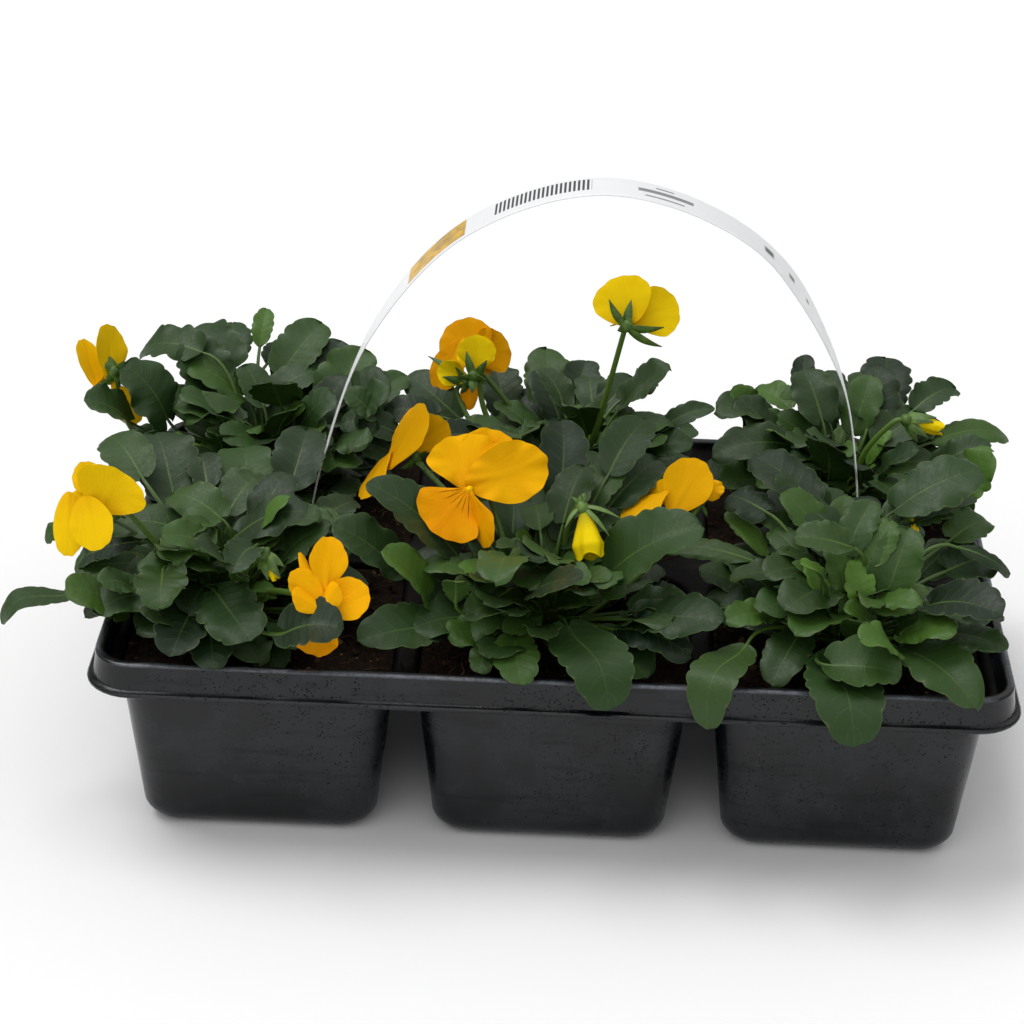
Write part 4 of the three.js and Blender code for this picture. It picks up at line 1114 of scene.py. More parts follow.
# Each leaf: direction of its stalk from the crown, reach, height of the blade's base above the
# soil, turn of the blade from the stalk, slope of the blade, length, width and, where it hangs
# over the rim, the arch. Angles in degrees. "bright" tells how young and yellow-green a listed
# leaf is.
plants = {
    "front_left": {
        "crown": (-106, -43),
        "bright": {1: 0.4, 3: 0.2, 13: 0.1},
        "leaves": (
            (-160, 50, 14, 5, -15, 24, 13, 5), (-150, 37, 12, 5, 35, 21, 18), (-145, 35, 20, 10, 30, 12,
            11),
            (-120, 33, 30, 35, -5, 17, 17), (175, 29, 24, -5, -20, 17, 12), (-80, 24, 27, -35, 50, 24, 18),
            (-90, 26, 22, 30, -5, 27, 21), (-105, 28, 18, 5, -10, 24, 18), (-95, 28, 12, 15, -5, 22, 15),
            (-61, 48, 18, 47, 20, 19, 19), (130, 32, 30, -20, 25, 30, 23), (145, 37, 38, -20, 15, 24, 17),
            (110, 28, 32, -5, 20, 18, 12), (85, 26, 28, 10, 25, 26, 20), (60, 34, 31, 20, 30, 26, 18),
            (75, 33, 34, 50, -10, 17, 10), (40, 26, 17, -15, -5, 24, 17), (120, 29, 16, -40, 5, 18, 13),
            (35, 33, 25, 10, 15, 17, 12), (-175, 48, 34, 0, -30, 12, 8), (175, 40, 20, -15, -30, 13, 11),
            (-65, 27, 38, -40, 5, 16, 12),
        ),
    },
    "front_middle": {
        "crown": (-3, -44),
        "bright": {1: 0.5, 4: 0.3, 5: 0.25, 7: 0.55, 9: 0.2, 17: 0.6},
        "leaves": (
            (180, 29, 25, 0, 45, 38, 19), (-160, 40, 15, 5, 60, 26, 16), (-150, 38, 10, 5, 10, 30, 18),
            (-175, 48, 21, 5, 45, 27, 18), (-130, 27, 9, -10, 20, 17, 16), (-108, 30, 12.6, 25, -11, 21,
            15),
            (-75, 26, 15, 10, -22, 34, 24, 8), (105, 22, 12, -15, 35, 22, 12), (-100, 27, 27, 50, 35, 28,
            14),
            (-110, 19, 20, -25, 15, 25, 14), (85, 26, 31, 5, 40, 34, 17), (65, 33, 29, 30, 25, 28, 13),
            (55, 32, 44, 5, 25, 26, 16), (50, 29, 34, 5, 15, 28, 16), (-17, 18, 21, 8, 42, 38, 24),
            (-30, 32, 14, 0, 18, 32, 18), (-40, 28, 11, 5, 8, 28, 15), (-135, 40, 24, 45, 60, 16, 9),
            (-120, 36, 11, 20, -12, 12, 9), (135, 22, 18, 0, 5, 16, 12),
        ),
    },
    "front_right": {
        "crown": (92, -46),
        "bright": {
            2: 0.15, 4: 0.5, 5: 0.5, 10: 0.0, 20: 0.7, 21: 0.9, 22: 0.4, 24: 0.4, 30: 0.3, 32: 0.8,
            34: 0.5, 35: 0.6,
            36: 0.5, 37: 0.9, 38: 0.9,
        },
        "leaves": (
            (-141, 41, 13, 26, -28, 33, 17, 12), (-100, 28, 12, 18, -20, 37, 24, 8), (-99, 42, 16, 87, 5,
            21, 19),
            (-55, 27, 12, 0, 2, 36, 20), (-70, 37, 18, -60, 40, 20, 14), (-55, 27, 16, 10, 30, 24, 13),
            (-35, 30, 25, -10, 22, 28, 19), (-35, 36, 17, -10, 15, 24, 12), (15, 34, 24, 15, 5, 18, 18),
            (10, 35, 34, 0, -28, 22, 7), (47, 23, 41, -34, 27, 30, 20), (55, 21, 37, -25, 2, 30, 17),
            (45, 20, 35, -15, 12, 34, 9), (55, 25, 14, 15, 28, 26, 17), (65, 22, 21, 0, 25, 18, 12),
            (85, 24, 24, -20, 30, 22, 12), (90, 26, 35, 25, -5, 18, 12), (120, 31, 22, -25, 30, 26, 16),
            (115, 22, 39, 20, 15, 30, 17), (85, 23, 25, 40, -10, 27, 14), (145, 30, 22, -10, 30, 21, 8),
            (-115, 21, 27, -15, 60, 21, 9), (-150, 28, 18, 0, 10, 17, 11), (170, 29, 26, -5, 0, 32, 9),
            (-65, 19, 25, 15, 30, 18, 10), (30, 30, 20, 15, 25, 16, 14), (25, 38, 32, 15, 12, 16, 14),
            (140, 34, 36, -5, 0, 16, 14), (-165, 42, 17, 15, -8, 16, 11), (-53, 18, 26, 110, 61, 23, 17),
            (-61, 11, 36, 113, 44, 15, 12), (-101, 8, 37, 159, 42, 20, 12), (-116, 18, 24, -101, 60, 14, 8),
            (-99, 12, 42, -81, 12, 17, 13), (-73, 23, 20, -94, 38, 12, 10), (-69, 21, 25, 69, 10, 13, 9),
            (-98, 14, 27, -137, 57, 15, 10), (-80, 18, 24, -174, 60, 15, 10), (-90, 15, 14, 175, 75, 15, 8),
        ),
    },
    "back_left": {
        "crown": (-104, 46),
        "bright": {3: 0.1, 9: 0.55, 13: 0.55},
        "leaves": (
            (-10, 31, 30, -10, 55, 21, 17), (25, 38, 25, 20, 30, 20, 13), (-165, 47, 31, 15, 40, 19, 17),
            (145, 29, 45, 10, -5, 26, 18), (-170, 34, 30, -10, 60, 24, 22), (120, 30, 36, -25, 25, 22, 15),
            (0, 26, 28, 10, 50, 24, 22), (60, 24, 20, -20, 10, 22, 14), (100, 24, 24, -35, 5, 20, 13),
            (-130, 26, 12, 20, 60, 32, 15), (-160, 30, 24, 5, -10, 20, 13), (60, 31, 14, 25, 25, 20, 14),
            (-30, 31, 27, -15, 30, 16, 14), (100, 28, 43, -15, 40, 16, 8), (95, 27, 37, -25, 5, 16, 10),
            (165, 36, 31, -10, 20, 15, 12), (-115, 27, 27, 20, 50, 13, 12), (130, 30, 25, -15, 15, 16, 14),
            (125, 24, 38, 10, 20, 24, 20), (80, 22, 36, -30, 35, 24, 18), (20, 24, 32, 15, 50, 22, 20),
            (50, 26, 30, 0, 55, 20, 18), (150, 22, 32, -20, 45, 22, 20), (-40, 16, 26, 30, 60, 22, 18),
            (-12, 46, 21, -168, 25, 15, 14), (-12, 46, 30, -168, 12, 18, 14), (-17, 40, 37, -163, 46, 13,
            11),
        ),
    },
    "back_middle": {
        "crown": (2, 48),
        "bright": {7: 0.4, 8: 0.4, 3: 0.25},
        "leaves": (
            (160, 42, 24, -20, 20, 26, 16), (-175, 47, 33, -5, 8, 18, 14), (135, 34, 22, -30, 30, 22, 16),
            (110, 28, 25, -20, 35, 24, 17), (85, 24, 25, -5, 35, 20, 14), (60, 22, 27, -5, 22, 20, 14),
            (10, 29, 24, 0, 28, 24, 9), (140, 24, 22, 0, -10, 18, 14), (95, 22, 18, -35, 5, 20, 12),
            (70, 20, 20, -10, 20, 21, 12), (-15, 24, 22, 10, 20, 20, 13), (-165, 30, 26, 10, 15, 20, 14),
            (30, 30, 14, 0, 15, 22, 15), (45, 25, 32, -5, 18, 16, 10),
        ),
    },
    "back_right": {
        "crown": (94, 46),
        "bright": {2: 0.5, 3: 0.5, 8: 0.3, 9: 0.6},
        "leaves": (
            (-150, 14, 28, -10, 10, 32, 17), (-100, 21, 24, -10, 60, 27, 19), (165, 30, 28, 0, 65, 17, 13),
            (130, 24, 32, 5, 5, 17, 12), (110, 30, 29, -25, 45, 20, 9), (85, 24, 26, 15, 30, 22, 14),
            (55, 32, 30, 30, 30, 24, 19), (30, 32, 34, 5, 18, 20, 13), (15, 35, 25, 12, 0, 34, 12),
            (-20, 44, 13, 5, 68, 24, 19), (60, 28, 17, 30, 15, 21, 14), (-45, 21, 22, 5, 55, 20, 13),
            (-10, 34, 23, 0, 35, 21, 13), (-75, 26, 27, -30, 45, 18, 12),
        ),
    },
}
# Leaves made up to fill each rosette: how many of a kind, the middle and the half width of the
# directions they take, then ranges of reach, height, turn, slope, length, width as a share of the
# length, and youth (0 dark, 1 yellow-green).
filler = {
    "outer": (22, 0, 180, (16, 30), (3, 16), (-30, 30), (-12, 35), (17, 25), (0.6, 0.85), (0.0, 0.15)),
    "inner": (24, 0, 180, (8, 24), (12, 28), (-40, 40), (5, 55), (16, 24), (0.55, 0.8), (0.0, 0.25)),
    "top": (10, 0, 180, (4, 24), (24, 36), (-60, 60), (0, 50), (16, 24), (0.6, 0.85), (0.0, 0.25)),
    "front": (10, -90, 80, (5, 17), (10, 30), (-40, 40), (25, 65), (13, 21), (0.45, 0.7), (0.1, 0.7)),
    "heart": (12, 0, 180, (4, 14), (6, 20), (-25, 25), (30, 75), (11, 17), (0.35, 0.6), (0.5, 1.0)),
    "stipules": (18, 0, 180, (3, 16), (2, 14), (-40, 40), (30, 80), (7, 13), (0.16, 0.26), (0.5, 1.0)),
}
goldenAngle = 137.5
strapLine = arch(strap["route"], 60)


def inTheWay(grid):
    # whether a blade would hide a flower from the viewer or cut through the strap
    for flower in flowers.values():
        off = grid - np.array(flower["throat"], float)
        aside = np.hypot(off @ viewRight, off @ viewUp)
        if np.any((aside < flower.get("clear", leafSet["flowerClear"])) & (off @ viewBack > -8)):
            return True
    near = np.abs(grid[..., 1]) < strap["width"] / 2 + 1.5
    gap = np.linalg.norm(grid[..., None, ::2] - strapLine, axis=-1).min(axis=-1)
    return bool(np.any(near & (gap < leafSet["strapClear"])))


def cutsRim(grid):
    # whether a blade runs into the rolled rim: any point above the rim's band but below its top
    x, y, z = np.moveaxis(grid, -1, 0)
    inset = np.minimum(*outlineInset(x, y))
    return bool(np.any((inset > -2) & (inset < leafSet["rimInset"]) & (z < tray["height"] + 0.4)))


def growLeaf(crown, row, young, picker, roll=0.0, made=False):
    # a blade and its stalk. Its face turns from square to the stalk's plane towards the sky and
    # the viewer. A row with an arch of its own hangs over the rim and isn't turned or drooped.
    azimuth, reach, height, turn, slope, length, width = row[:7]
    hanging = len(row) > 7
    arched = row[7] if hanging else leafSet["arch"] * length
    out = heading(azimuth, 0)
    base = np.array([*crown, leafSet["ground"] + height]) + out * reach
    forward = heading(azimuth + turn, slope)
    normal = turned(heading(azimuth + turn + 180, 90 - slope), forward, roll)
    towards = picker.uniform(*leafSet["fillerFaceView" if made else "faceView"]) * (not hanging)
    normal = normal + leafSet["faceUp"] * np.array([0, 0, 1.0]) * (not hanging) + towards * viewBack
    normal = unit(normal - (normal @ forward) * forward)
    look = leafLook(length, width, young, picker)
    if made:
        look["grid"] = leafSet["fillerGrid"]
    if hanging:
        look.update(hangingLook)
        look["notch"] *= 0.8
        base = base + normal * leafSet["clear"]
    blade, grid = leafBlade(base, forward, normal, length, width, arched, look)
    start = np.array([*crown, leafSet["ground"] + 1.5]) + out * 2.5
    return blade, leafStalk(start, base, forward, grid, look["tone"] * (1 - young)), grid


def growPlant(name, plant, seed):
    # the listed leaves, then the made-up ones, turned on by the golden angle. One that is in the
    # way is tried again elsewhere, and one that would cut the rim is left out.
    picker = np.random.default_rng(seed)
    crown = plant["crown"]
    blades, stalks = [], []
    for i, row in enumerate(plant["leaves"]):
        young = plant["bright"].get(i, max(0.0, picker.normal(0.0, 0.1)))
        blade, stalk, _ = growLeaf(crown, row, young, picker)
        blades.append(blade)
        stalks.append(stalk)
    for count, middle, spread, *ranges in filler.values():
        for i in range(count):
            for attempt in range(leafSet["fillerTries"]):
                turning = (i * goldenAngle + seed * 31 + attempt * 23) % 360 / 180 - 1
                drawn = [picker.uniform(*limits) for limits in ranges]
                reach, height, turn, slope, length, share, young = drawn
                row = (middle + spread * turning, reach, height, turn, slope, length, length * share)
                roll = picker.uniform(-leafSet["fillerRoll"], leafSet["fillerRoll"])
                blade, stalk, grid = growLeaf(crown, row, young, picker, roll, True)
                if not inTheWay(grid):
                    if not cutsRim(grid):
                        blades.append(blade)
                        stalks.append(stalk)
                    break
    radii = leafSet["crownRadii"]
    knob = np.array([*crown, leafSet["ground"] - 1.5]) + np.linspace(0, 7, len(radii))[:, None] * [0, 0, 1]
    stalks.append(sweptTube(knob, radii, 12, {"along": 0.0, "tone": 0.2}))
    makePiece(f"foliage_{name}", blades, leafGreen, [f"plant_{name}"], sharp=75)
    makePiece(f"leafStalks_{name}", stalks, stalkGreen, [f"plant_{name}"], sharp=60)


# flowers
petalSet = {"grid": 25, "thickness": 0.32, "edge": 0.14, "curl": 0.06}
budSet = {"rings": 24, "sides": 42, "pleats": 3, "drawIn": 0.16}
sepalSet = {"grid": (14, 7), "thickness": 0.4, "width": 3.0}
stemSet = {"steps": 34, "sides": 10, "radii": ((0, 1.1), (0.9, 0.85), (1, 1.1))}
calyxRadii = (0.6, 1.5, 2.0, 2.2, 2.3, 2.1, 1.7, 0.8)
noseRadii = (0.5, 1.1, 1.35, 1.3, 1.0, 0.4)


def openPetal(base, tip, width, face, cup=0.5, claw=0.25, **more):
    # an open petal: its foot and its tip, its width, the way its face looks, how far it cups in
    # millimetres and how wide its foot is as a share; also the margin's wave, orange and lip
    return {"base": base, "tip": tip, "width": width, "face": face, "cup": cup, "claw": claw, **more}


def furledBud(base, tip, width, neck):
    # a shut flower: its foot and its tip, its greatest width and the width at its foot
    return {"base": base, "tip": tip, "width": width, "neck": neck}


# Each flower: the plant it grows from, the throat's place, the calyx, how orange and how lemon its
# petals are, and the points its stem comes down through. The calyx, petals and tips of the sepals
# are told as the viewer sees them from the throat: right, up, towards.
flowers = {
    "far_left": {
        "plant": "back_left", "throat": (-159.4, 40, 105), "calyx": (4.5, 0.5, 0), "hue": (0.0, 0.5),
        "stem": ((-150, 43, 100), (-128, 47, 82)),
        "petals": (
            openPetal((3, -4, 0), (2.7, 17, -2), 16, (-0.82, 0, -0.57), cup=1.0, claw=0.5),
            openPetal((0, -7, -1), (-7.8, 11.5, -3), 14, (-0.8, -0.2, -0.5), cup=1.0, claw=0.5),
            openPetal((1, -1, 0), (-3, -8.5, -3), 10, (-0.8, 0.3, -0.4)),
            openPetal((3, -2, -1), (12, -17, -4), 11, (-0.3, 0.5, -0.7), orange=0.6),
        ),
        "sepals": ((2, 6, -1), (8, 4, 1), (6, -6, 1), (-1, -5, 1), (0, 4, 2)),
    },
    "left": {
        "plant": "front_left", "throat": (-143, -53, 101), "calyx": (2.5, -1.5, -4), "hue": (0.0, 0.5),
        "stem": ((-136, -50, 98), (-122, -45, 76)),
        "petals": (
            openPetal((-2, -0.5, 0), (5, 12, 0), 24, (0.15, -0.2, 1), cup=-2.5, claw=0.75, wave=0.2),
            openPetal((-1, 2, -1), (-8, 14.5, -1), 11, (0.4, 0, 0.9), cup=1.0),
            openPetal((-11.5, 5.5, -1), (-12, -15, -1), 11.5, (-0.25, 0.2, 0.95), cup=1.2, claw=0.8),
            openPetal((-6.5, 4, 2), (-1, -12.8, 5), 14, (-0.1, 0.3, 0.95), cup=-1.5, claw=0.8),
            openPetal((0, 0, -1), (-11, 4, -1), 10, (0.1, 0.1, 1), cup=1.0, claw=0.7),
        ),
        "sepals": ((5, 3, -5), (6, -3, -4), (0, -6, -4), (-4, 3, -6), (2, 5, -6)),
    },
    "low_left": {
        "plant": "front_left", "throat": (-72, -79, 88), "calyx": (0, -2, -5), "hue": (0.22, 0.0),
        "stem": ((-78, -73, 84), (-93, -58, 76)),
        "petals": (
            openPetal((1, -1, -1), (2, 17.8, -2), 12.5, (0.25, -0.1, 1), cup=-1.5),
            openPetal((0, 0, 0), (-7.4, 12.8, 0), 5, (0.9, 0.4, 0.6), cup=1.0),
            openPetal((1, -3, 0), (-9.5, 7, 2), 10, (0.2, -0.1, 1), cup=1.5, claw=0.4),
            openPetal((1, -6, 1), (-9, 1.5, 4), 8, (0.1, 0.6, 0.8), cup=1.8, claw=0.5),
            openPetal((0, -6, -0.5), (14, 2, 1), 14, (-0.1, 0.1, 1), cup=-1.0, claw=0.6),
            openPetal((-0.5, -5.5, 1), (5, 3.5, 4), 8, (-0.5, 0.2, 0.8), cup=1.8, claw=0.45),
            openPetal((1, -4, -3), (-5, -18.5, -6), 17, (-0.2, 0.2, 1), cup=-1.5, claw=0.6, wave=0.6,
                      orange=0.7, lip=1),
        ),
        "sepals": ((5, 3, -5), (-5, 2, -5), (0, 5, -6)),
    },
    "back_orange": {
        "plant": "back_middle", "throat": (-34, 76, 104), "calyx": (0, -6, 3), "hue": (0.45, 0.0),
        "stem": ((-32, 70, 100), (-13, 64, 78)),
        "petals": (
            openPetal((2, -7, 0), (-5, 9.8, -1), 20, (0.1, 0.1, -1), cup=1, claw=0.6),
            openPetal((-3, 4, 0), (-12.5, -15, -1), 12, (0.3, 0.2, -0.9), cup=1, claw=0.7),
            openPetal((0, -5, 0), (12.5, 2.5, -2), 18, (-0.2, 0.2, -1), cup=1, claw=0.4),
            openPetal((0, -7, 0), (-1, -22, -1), 7, (0.3, 0, -0.9), orange=0.8),
            openPetal((0, -5, 0), (7, -8, -6), 12, (-0.2, 0.2, -1), cup=1),
        ),
        "sepals": ((4, -3, 5), (-4, -3, 5), (0, -11, 5)),
    },
    "half_open_upper": {
        "plant": "back_middle", "throat": (-32, 58, 110), "calyx": (-0.5, -8, 1.5), "hue": (0.0, 0.75),
        "stem": ((-31, 60, 101), (-26, 56, 84)),
        "petals": (
            openPetal((0.5, -7.5, 0), (0.5, 6.3, 1), 14, (0, 0.2, -1), cup=2),
            openPetal((0.5, -7.5, -1), (3, 4, -4), 10, (0, 0.2, -1), cup=2),
            openPetal((0.5, -7.5, -1), (-3, 4, -4), 10, (0, 0.2, -1), cup=2),
        ),
        "sepals": ((-3, 0.5, 3), (4, -2.5, 3), (-5, -8, 3), (4, -9, 3), (-1, -14, 3)),
    },
    "half_open_lower": {
        "plant": "back_middle", "throat": (-45, 62, 101), "calyx": (10, -4, 0), "hue": (0.0, 0.9),
        "stem": ((-38, 60, 93), (-27, 52, 78)),
        "petals": (
            openPetal((10.5, -3.5, 1.5), (0, 1.2, 2), 9.5, (0, 0.2, -1), cup=2, claw=0.5),
            openPetal((10.5, -3.5, -1), (1, 0.5, -3), 8.5, (0, 0.2, 1), cup=2, claw=0.5),
        ),
        "sepals": ((1.5, -2.2, 3), (-3.5, 5, -1), (6, 1, 3), (8, -8, 2)),
    },
    "side_middle": {
        "plant": "front_middle", "throat": (-53, -4, 104), "calyx": (4.5, -4.5, -1), "hue": (0.12, 0.0),
        "stem": ((-46, -6, 97), (-20, -22, 76)),
        "petals": (
            openPetal((-3, -2, 1), (-14.5, -17.3, 1), 16, (-0.76, 0.5, 0.42), cup=1.2),
            openPetal((-4.5, -8.5, 2), (7.3, 13, 2), 19, (-0.74, 0.36, 0.56), cup=1.2, claw=0.5),
            openPetal((3.3, -3.5, -1), (13.8, 8.3, -2), 15, (-0.3, 0.3, -0.9), cup=1.0),
            openPetal((-2, -3, -2), (0, 7, -9), 12, (-0.7, 0.3, 0.5), cup=1.0),
        ),
        "sepals": ((8, -2, 1), (7, -9, 1), (0, -8, 2), (4, 1, -4)),
    },
    "face_middle": {
        "plant": "front_middle", "throat": (-29, -40, 106), "calyx": (0, 0, -6), "hue": (0.12, 0.0),
        "nose": 0.6,
        "stem": ((-24, -32, 103), (-15, -42, 80)),
        "petals": (
            openPetal((0, 0.5, -1), (-2.5, 18, -3), 25, (0.1, -0.1, 1), cup=-1.2, claw=0.5, wave=0.6),
            openPetal((0, 0.5, -2.5), (11, 18.5, -4.5), 21, (0, -0.1, 1), cup=-1.2, claw=0.5, wave=0.4),
            openPetal((-1.5, 2.2, 0), (25, 9, -2), 20.5, (0, -0.05, 1), cup=-2.0, claw=0.7, wave=0.8),
            openPetal((0, 1.0, 0.8), (-11.5, -13, 2), 24, (0.15, 0.1, 1), cup=-1.0, wave=0.4,
                      orange=0.75, lip=1),
            openPetal((0, 1.0, 1.4), (5.4, -18, 3), 13, (-0.8, 0, 0.55), cup=1.0, orange=0.55, lip=0.5),
        ),
        "sepals": ((5, 3, -7), (-5, 3, -7), (4, -5, -7), (-4, -5, -7), (0, 6, -7)),
    },
    "tall": {
        "plant": "back_middle", "throat": (22, 26, 144), "calyx": (-3, -7, 1), "hue": (0.0, 0.7),
        "stem": ((19, 24, 137), (12, 32, 100), (7, 42, 75)),
        "petals": (
            openPetal((-1.5, -6.5, 0), (-6.3, 9.4, -2), 21, (0.15, 0.45, -1), cup=1.4, claw=0.75),
            openPetal((-1, -5, -2), (14.4, 0.5, -4), 17.5, (-0.1, 0.02, -1), cup=1.4, claw=0.7),
            openPetal((-2, -5.8, -2), (-9, 1, -13), 13, (0.3, 0.9, -0.3), cup=1.0),
            openPetal((-2, -5.8, -2), (8, -1, -14), 13, (-0.3, 0.9, -0.3), cup=1.0),
            openPetal((-2, -5.8, -2), (0, -4, -16), 15, (0, 0.9, -0.2), cup=1.0, orange=0.5, lip=1),
        ),
        "sepals": ((-9, 1.5, 2.5), (-1.5, 1.5, 2.5), (9.2, -7.5, 2), (8.5, -14, 1), (-6, -8.5, 1)),
    },
    "right_middle": {
        "plant": "front_middle", "throat": (37, -20, 96), "calyx": (8, -1, -3), "hue": (0.08, 0.0),
        "stem": ((44, -20, 92), (28, -32, 76)),
        "petals": (
            openPetal((-1.5, -5, 0), (8.5, 12.5, 0), 17, (-0.1, 0.1, 1), cup=-1.5, claw=0.6),
            openPetal((-2, 2.5, 1), (-17, -7, 2), 15, (-0.5, 0.6, 0.6), cup=1.0),
            openPetal((5, 2, -1), (16, 4, -1), 7.5, (0, 0.3, 1), cup=1.0, wave=0.5),
            openPetal((-3, -2, -1), (-5, 6, -4), 11, (-0.5, 0.4, 0.6), cup=1.0),
        ),
        "sepals": ((12, 1, -3), (10, -6, -2), (4, -6, -1), (9, 4, -4)),
    },
    "nodding_bud": {
        "plant": "front_middle", "throat": (9, -47, 100), "calyx": (-2, 5, 0), "hue": (0.0, 0.95),
        "pale": 0.3, "clear": 11, "sepalWidth": 1.5,
        "stem": ((7, -43, 107), (2, -37, 90)),
        "petals": (
            furledBud((-1.3, 3.9, 0), (0.6, -10.7, 1.5), 11, 3.0),
        ),
        "sepals": ((-7.3, -1.6, 3), (10, 1, 2), (6.5, -4, 3), (-5.4, 8, 1), (-2.8, 8.4, 1), (-0.4, 8.2,
        1.5)),
    },
    "right_bud": {
        "plant": "back_right", "throat": (119, 42, 97), "calyx": (-2, 1.5, 0), "hue": (0.0, 0.85),
        "stem": ((112, 42, 97), (103, 44, 82)),
        "petals": (
            furledBud((-1.4, 1.2, 0), (10, -1.6, 1), 5.6, 3.6),
        ),
        "sepals": ((8, 2.4, 2), (5, -4.6, 2.5), (2, -6, 0), (3, 4, 0), (7, 0.5, 3)),
    },
    "left_bud": {
        "plant": "front_left", "throat": (-88, -72, 92), "calyx": (-3, 5, 0), "hue": (0.0, 1.0),
        "stem": ((-91, -66, 95), (-103, -57, 77)),
        "petals": (
            furledBud((-2.5, 4, 0), (0.8, -2.8, 0.5), 3, 3.4),
        ),
        "sepals": ((2.5, -2.5, 2.5), (-1.5, -3, 2), (3.5, 1, 1), (-4, 0, 1)),
    },
    "hidden_bud": {
        "plant": "front_right", "throat": (113, -30, 95), "calyx": (-1, 3, -1), "hue": (0.0, 0.5),
        "stem": ((109, -33, 90), (99, -40, 76)),
        "petals": (
            furledBud((-0.5, 2.5, 0), (0.8, -3, 0.5), 3.4, 2.6),
        ),
        "sepals": ((2.5, -1, 1), (-2, -1, 1.5), (0, 0, 2)),
    },
}


def petalSheet(throat, petal, hue, picker):
    # a square grid pressed to a disc, then to a fan: the disc's height runs from foot to margin and
    # its width narrows to a claw at the foot; bent by curl along, cup across and waves at the margin
    n = petalSet["grid"]
    a, b = np.meshgrid(np.linspace(-1, 1, n), np.linspace(-1, 1, n), indexing="ij")
    x = b * np.sqrt(1 - a * a / 2)
    y = a * np.sqrt(1 - b * b / 2)
    t = (1 + y) / 2
    base = throat + fromView(petal["base"])
    tip = throat + fromView(petal["tip"])
    length = np.linalg.norm(tip - base)
    forward = (tip - base) / length
    face = fromView(petal["face"])
    normal = unit(face - (face @ forward) * forward)
    side = unit(np.cross(normal, forward))
    claw = petal["claw"] + (1 - petal["claw"]) * smooth(t, 0.0, 0.62)
    half = petal["width"] / 2
    rho = np.hypot(x, y)
    phase = picker.uniform(0, 6.28)
    around = np.arctan2(x, y)
    wave = np.sin(around * 5 + phase) + 0.5 * np.sin(around * 11 + phase * 2)
    wave = petal.get("wave", 0.15) * rho**3 * wave
    ragged = 1 + 0.007 * rho**4 * (np.sin(around * 7 + phase) + np.sin(around * 13 + 2 * phase))
    reachOut = length * t * ragged
    off = x * claw * half * ragged
    curl = picker.uniform(-petalSet["curl"], petalSet["curl"]) * length
    lift = curl * t**2 - petal["cup"] * (off / half) ** 2 + wave
    lift = lift + 0.25 * np.exp(-((off / 0.9) ** 2)) * smooth(t, 0.9, 0.3)
    grid = base + forward * reachOut[..., None] + side * off[..., None] + normal * lift[..., None]
    thick = petalSet["thickness"] * smooth(rho, 1.02, 0.8) + petalSet["edge"]
    told = {
        "along": t,
        "across": x,
        "turn": np.arctan2(off, np.maximum(reachOut, 0.4)),
        "lip": petal.get("lip", 0.0),
        "orange": petal.get("orange", hue[0]),
        "lemon": hue[1],
    }
    return flippedSheet(grid, thick, told)


def furledBloom(throat, bud, hue, picker):
    # a rolled-up corolla: its radius grows from the neck to three quarters of the length t and
    # draws in again, pleated by cos(3 angle + twist t), turned in at the mouth and closed inside
    rings, pleats = budSet["rings"], budSet["pleats"]
    base = throat + fromView(bud["base"])
    tip = throat + fromView(bud["tip"])
    whole = np.linalg.norm(tip - base)
    axis = unit(tip - base)
    side = unit(np.cross(axis, viewBack))
    t = np.concatenate([np.linspace(0, 1, rings), [0.98, 0.9, 0.75, 0.6]])
    shrink = np.concatenate([np.ones(rings), [0.8, 0.62, 0.4, 0.12]])
    angle = np.arange(budSet["sides"]) * 2 * np.pi / budSet["sides"]
    radius = bud["neck"] / 2 + (bud["width"] - bud["neck"]) / 2 * np.clip(t / 0.75, 0, 1) ** 0.9
    radius = radius * (1 - budSet["drawIn"] * smooth(t, 0.7, 1.0))
    radius = radius * np.where(t < 0.08, 0.55 + 5.6 * t, 1.0) * shrink
    phase = picker.uniform(0, 6.28)
    t, angles = t[:, None], angle[None, :]
    fold = (pleats * angles + phase + 2.6 * t) / 2
    pleat = 0.88 + 0.3 * t * (np.abs(np.cos(fold)) - 0.4) + 0.04 * t * np.cos(7 * angles + 2 * phase)
    length = whole * (t + 0.07 * t**6 * np.cos(pleats * angles + phase))
    body = base + axis * length[..., None]
    body = body + circle(angle, side, np.cross(side, axis)) * (radius[:, None] * pleat)[..., None]
    told = {
        "along": (t, [0, 0.6]),
        "turn": (np.sin(angles * pleats), [0, 0]),
        "lemon": (hue[1], [hue[1]] * 2),
        "green": (np.clip(1 - t * 2.2, 0, 1) * 0.8, [0.8, 0]),
    }
    return tubeSkin(body, [base, base + axis * whole * 0.6], told, flipped=True)


def sepalSheet(start, tip, away, wide, pale, picker):
    # a narrow pointed leaf from the calyx, bowed away from the petals
    nu, nv = sepalSet["grid"]
    u, v = np.linspace(0, 1, nu), np.linspace(-1, 1, nv)
    length = np.linalg.norm(tip - start)
    forward = (tip - start) / length
    side = unit(np.cross(away, forward))
    normal = np.cross(forward, side)
    half = wide / 2 * np.maximum(np.sin(np.pi * (0.12 + 0.88 * u) ** 0.9), 0.06)
    off = half[:, None] * v[None, :]
    lift = 0.12 * length * np.sin(np.pi * u)[:, None] - 0.25 * np.abs(off)
    lift = lift + picker.uniform(-0.6, 0.6) * (u**2)[:, None]
    grid = start + forward * (length * u)[:, None, None] + side * off[..., None] + normal * lift[..., None]
    return closedSheet(grid, np.full((nu, nv), sepalSet["thickness"]), {"along": u[:, None], "pale": pale})


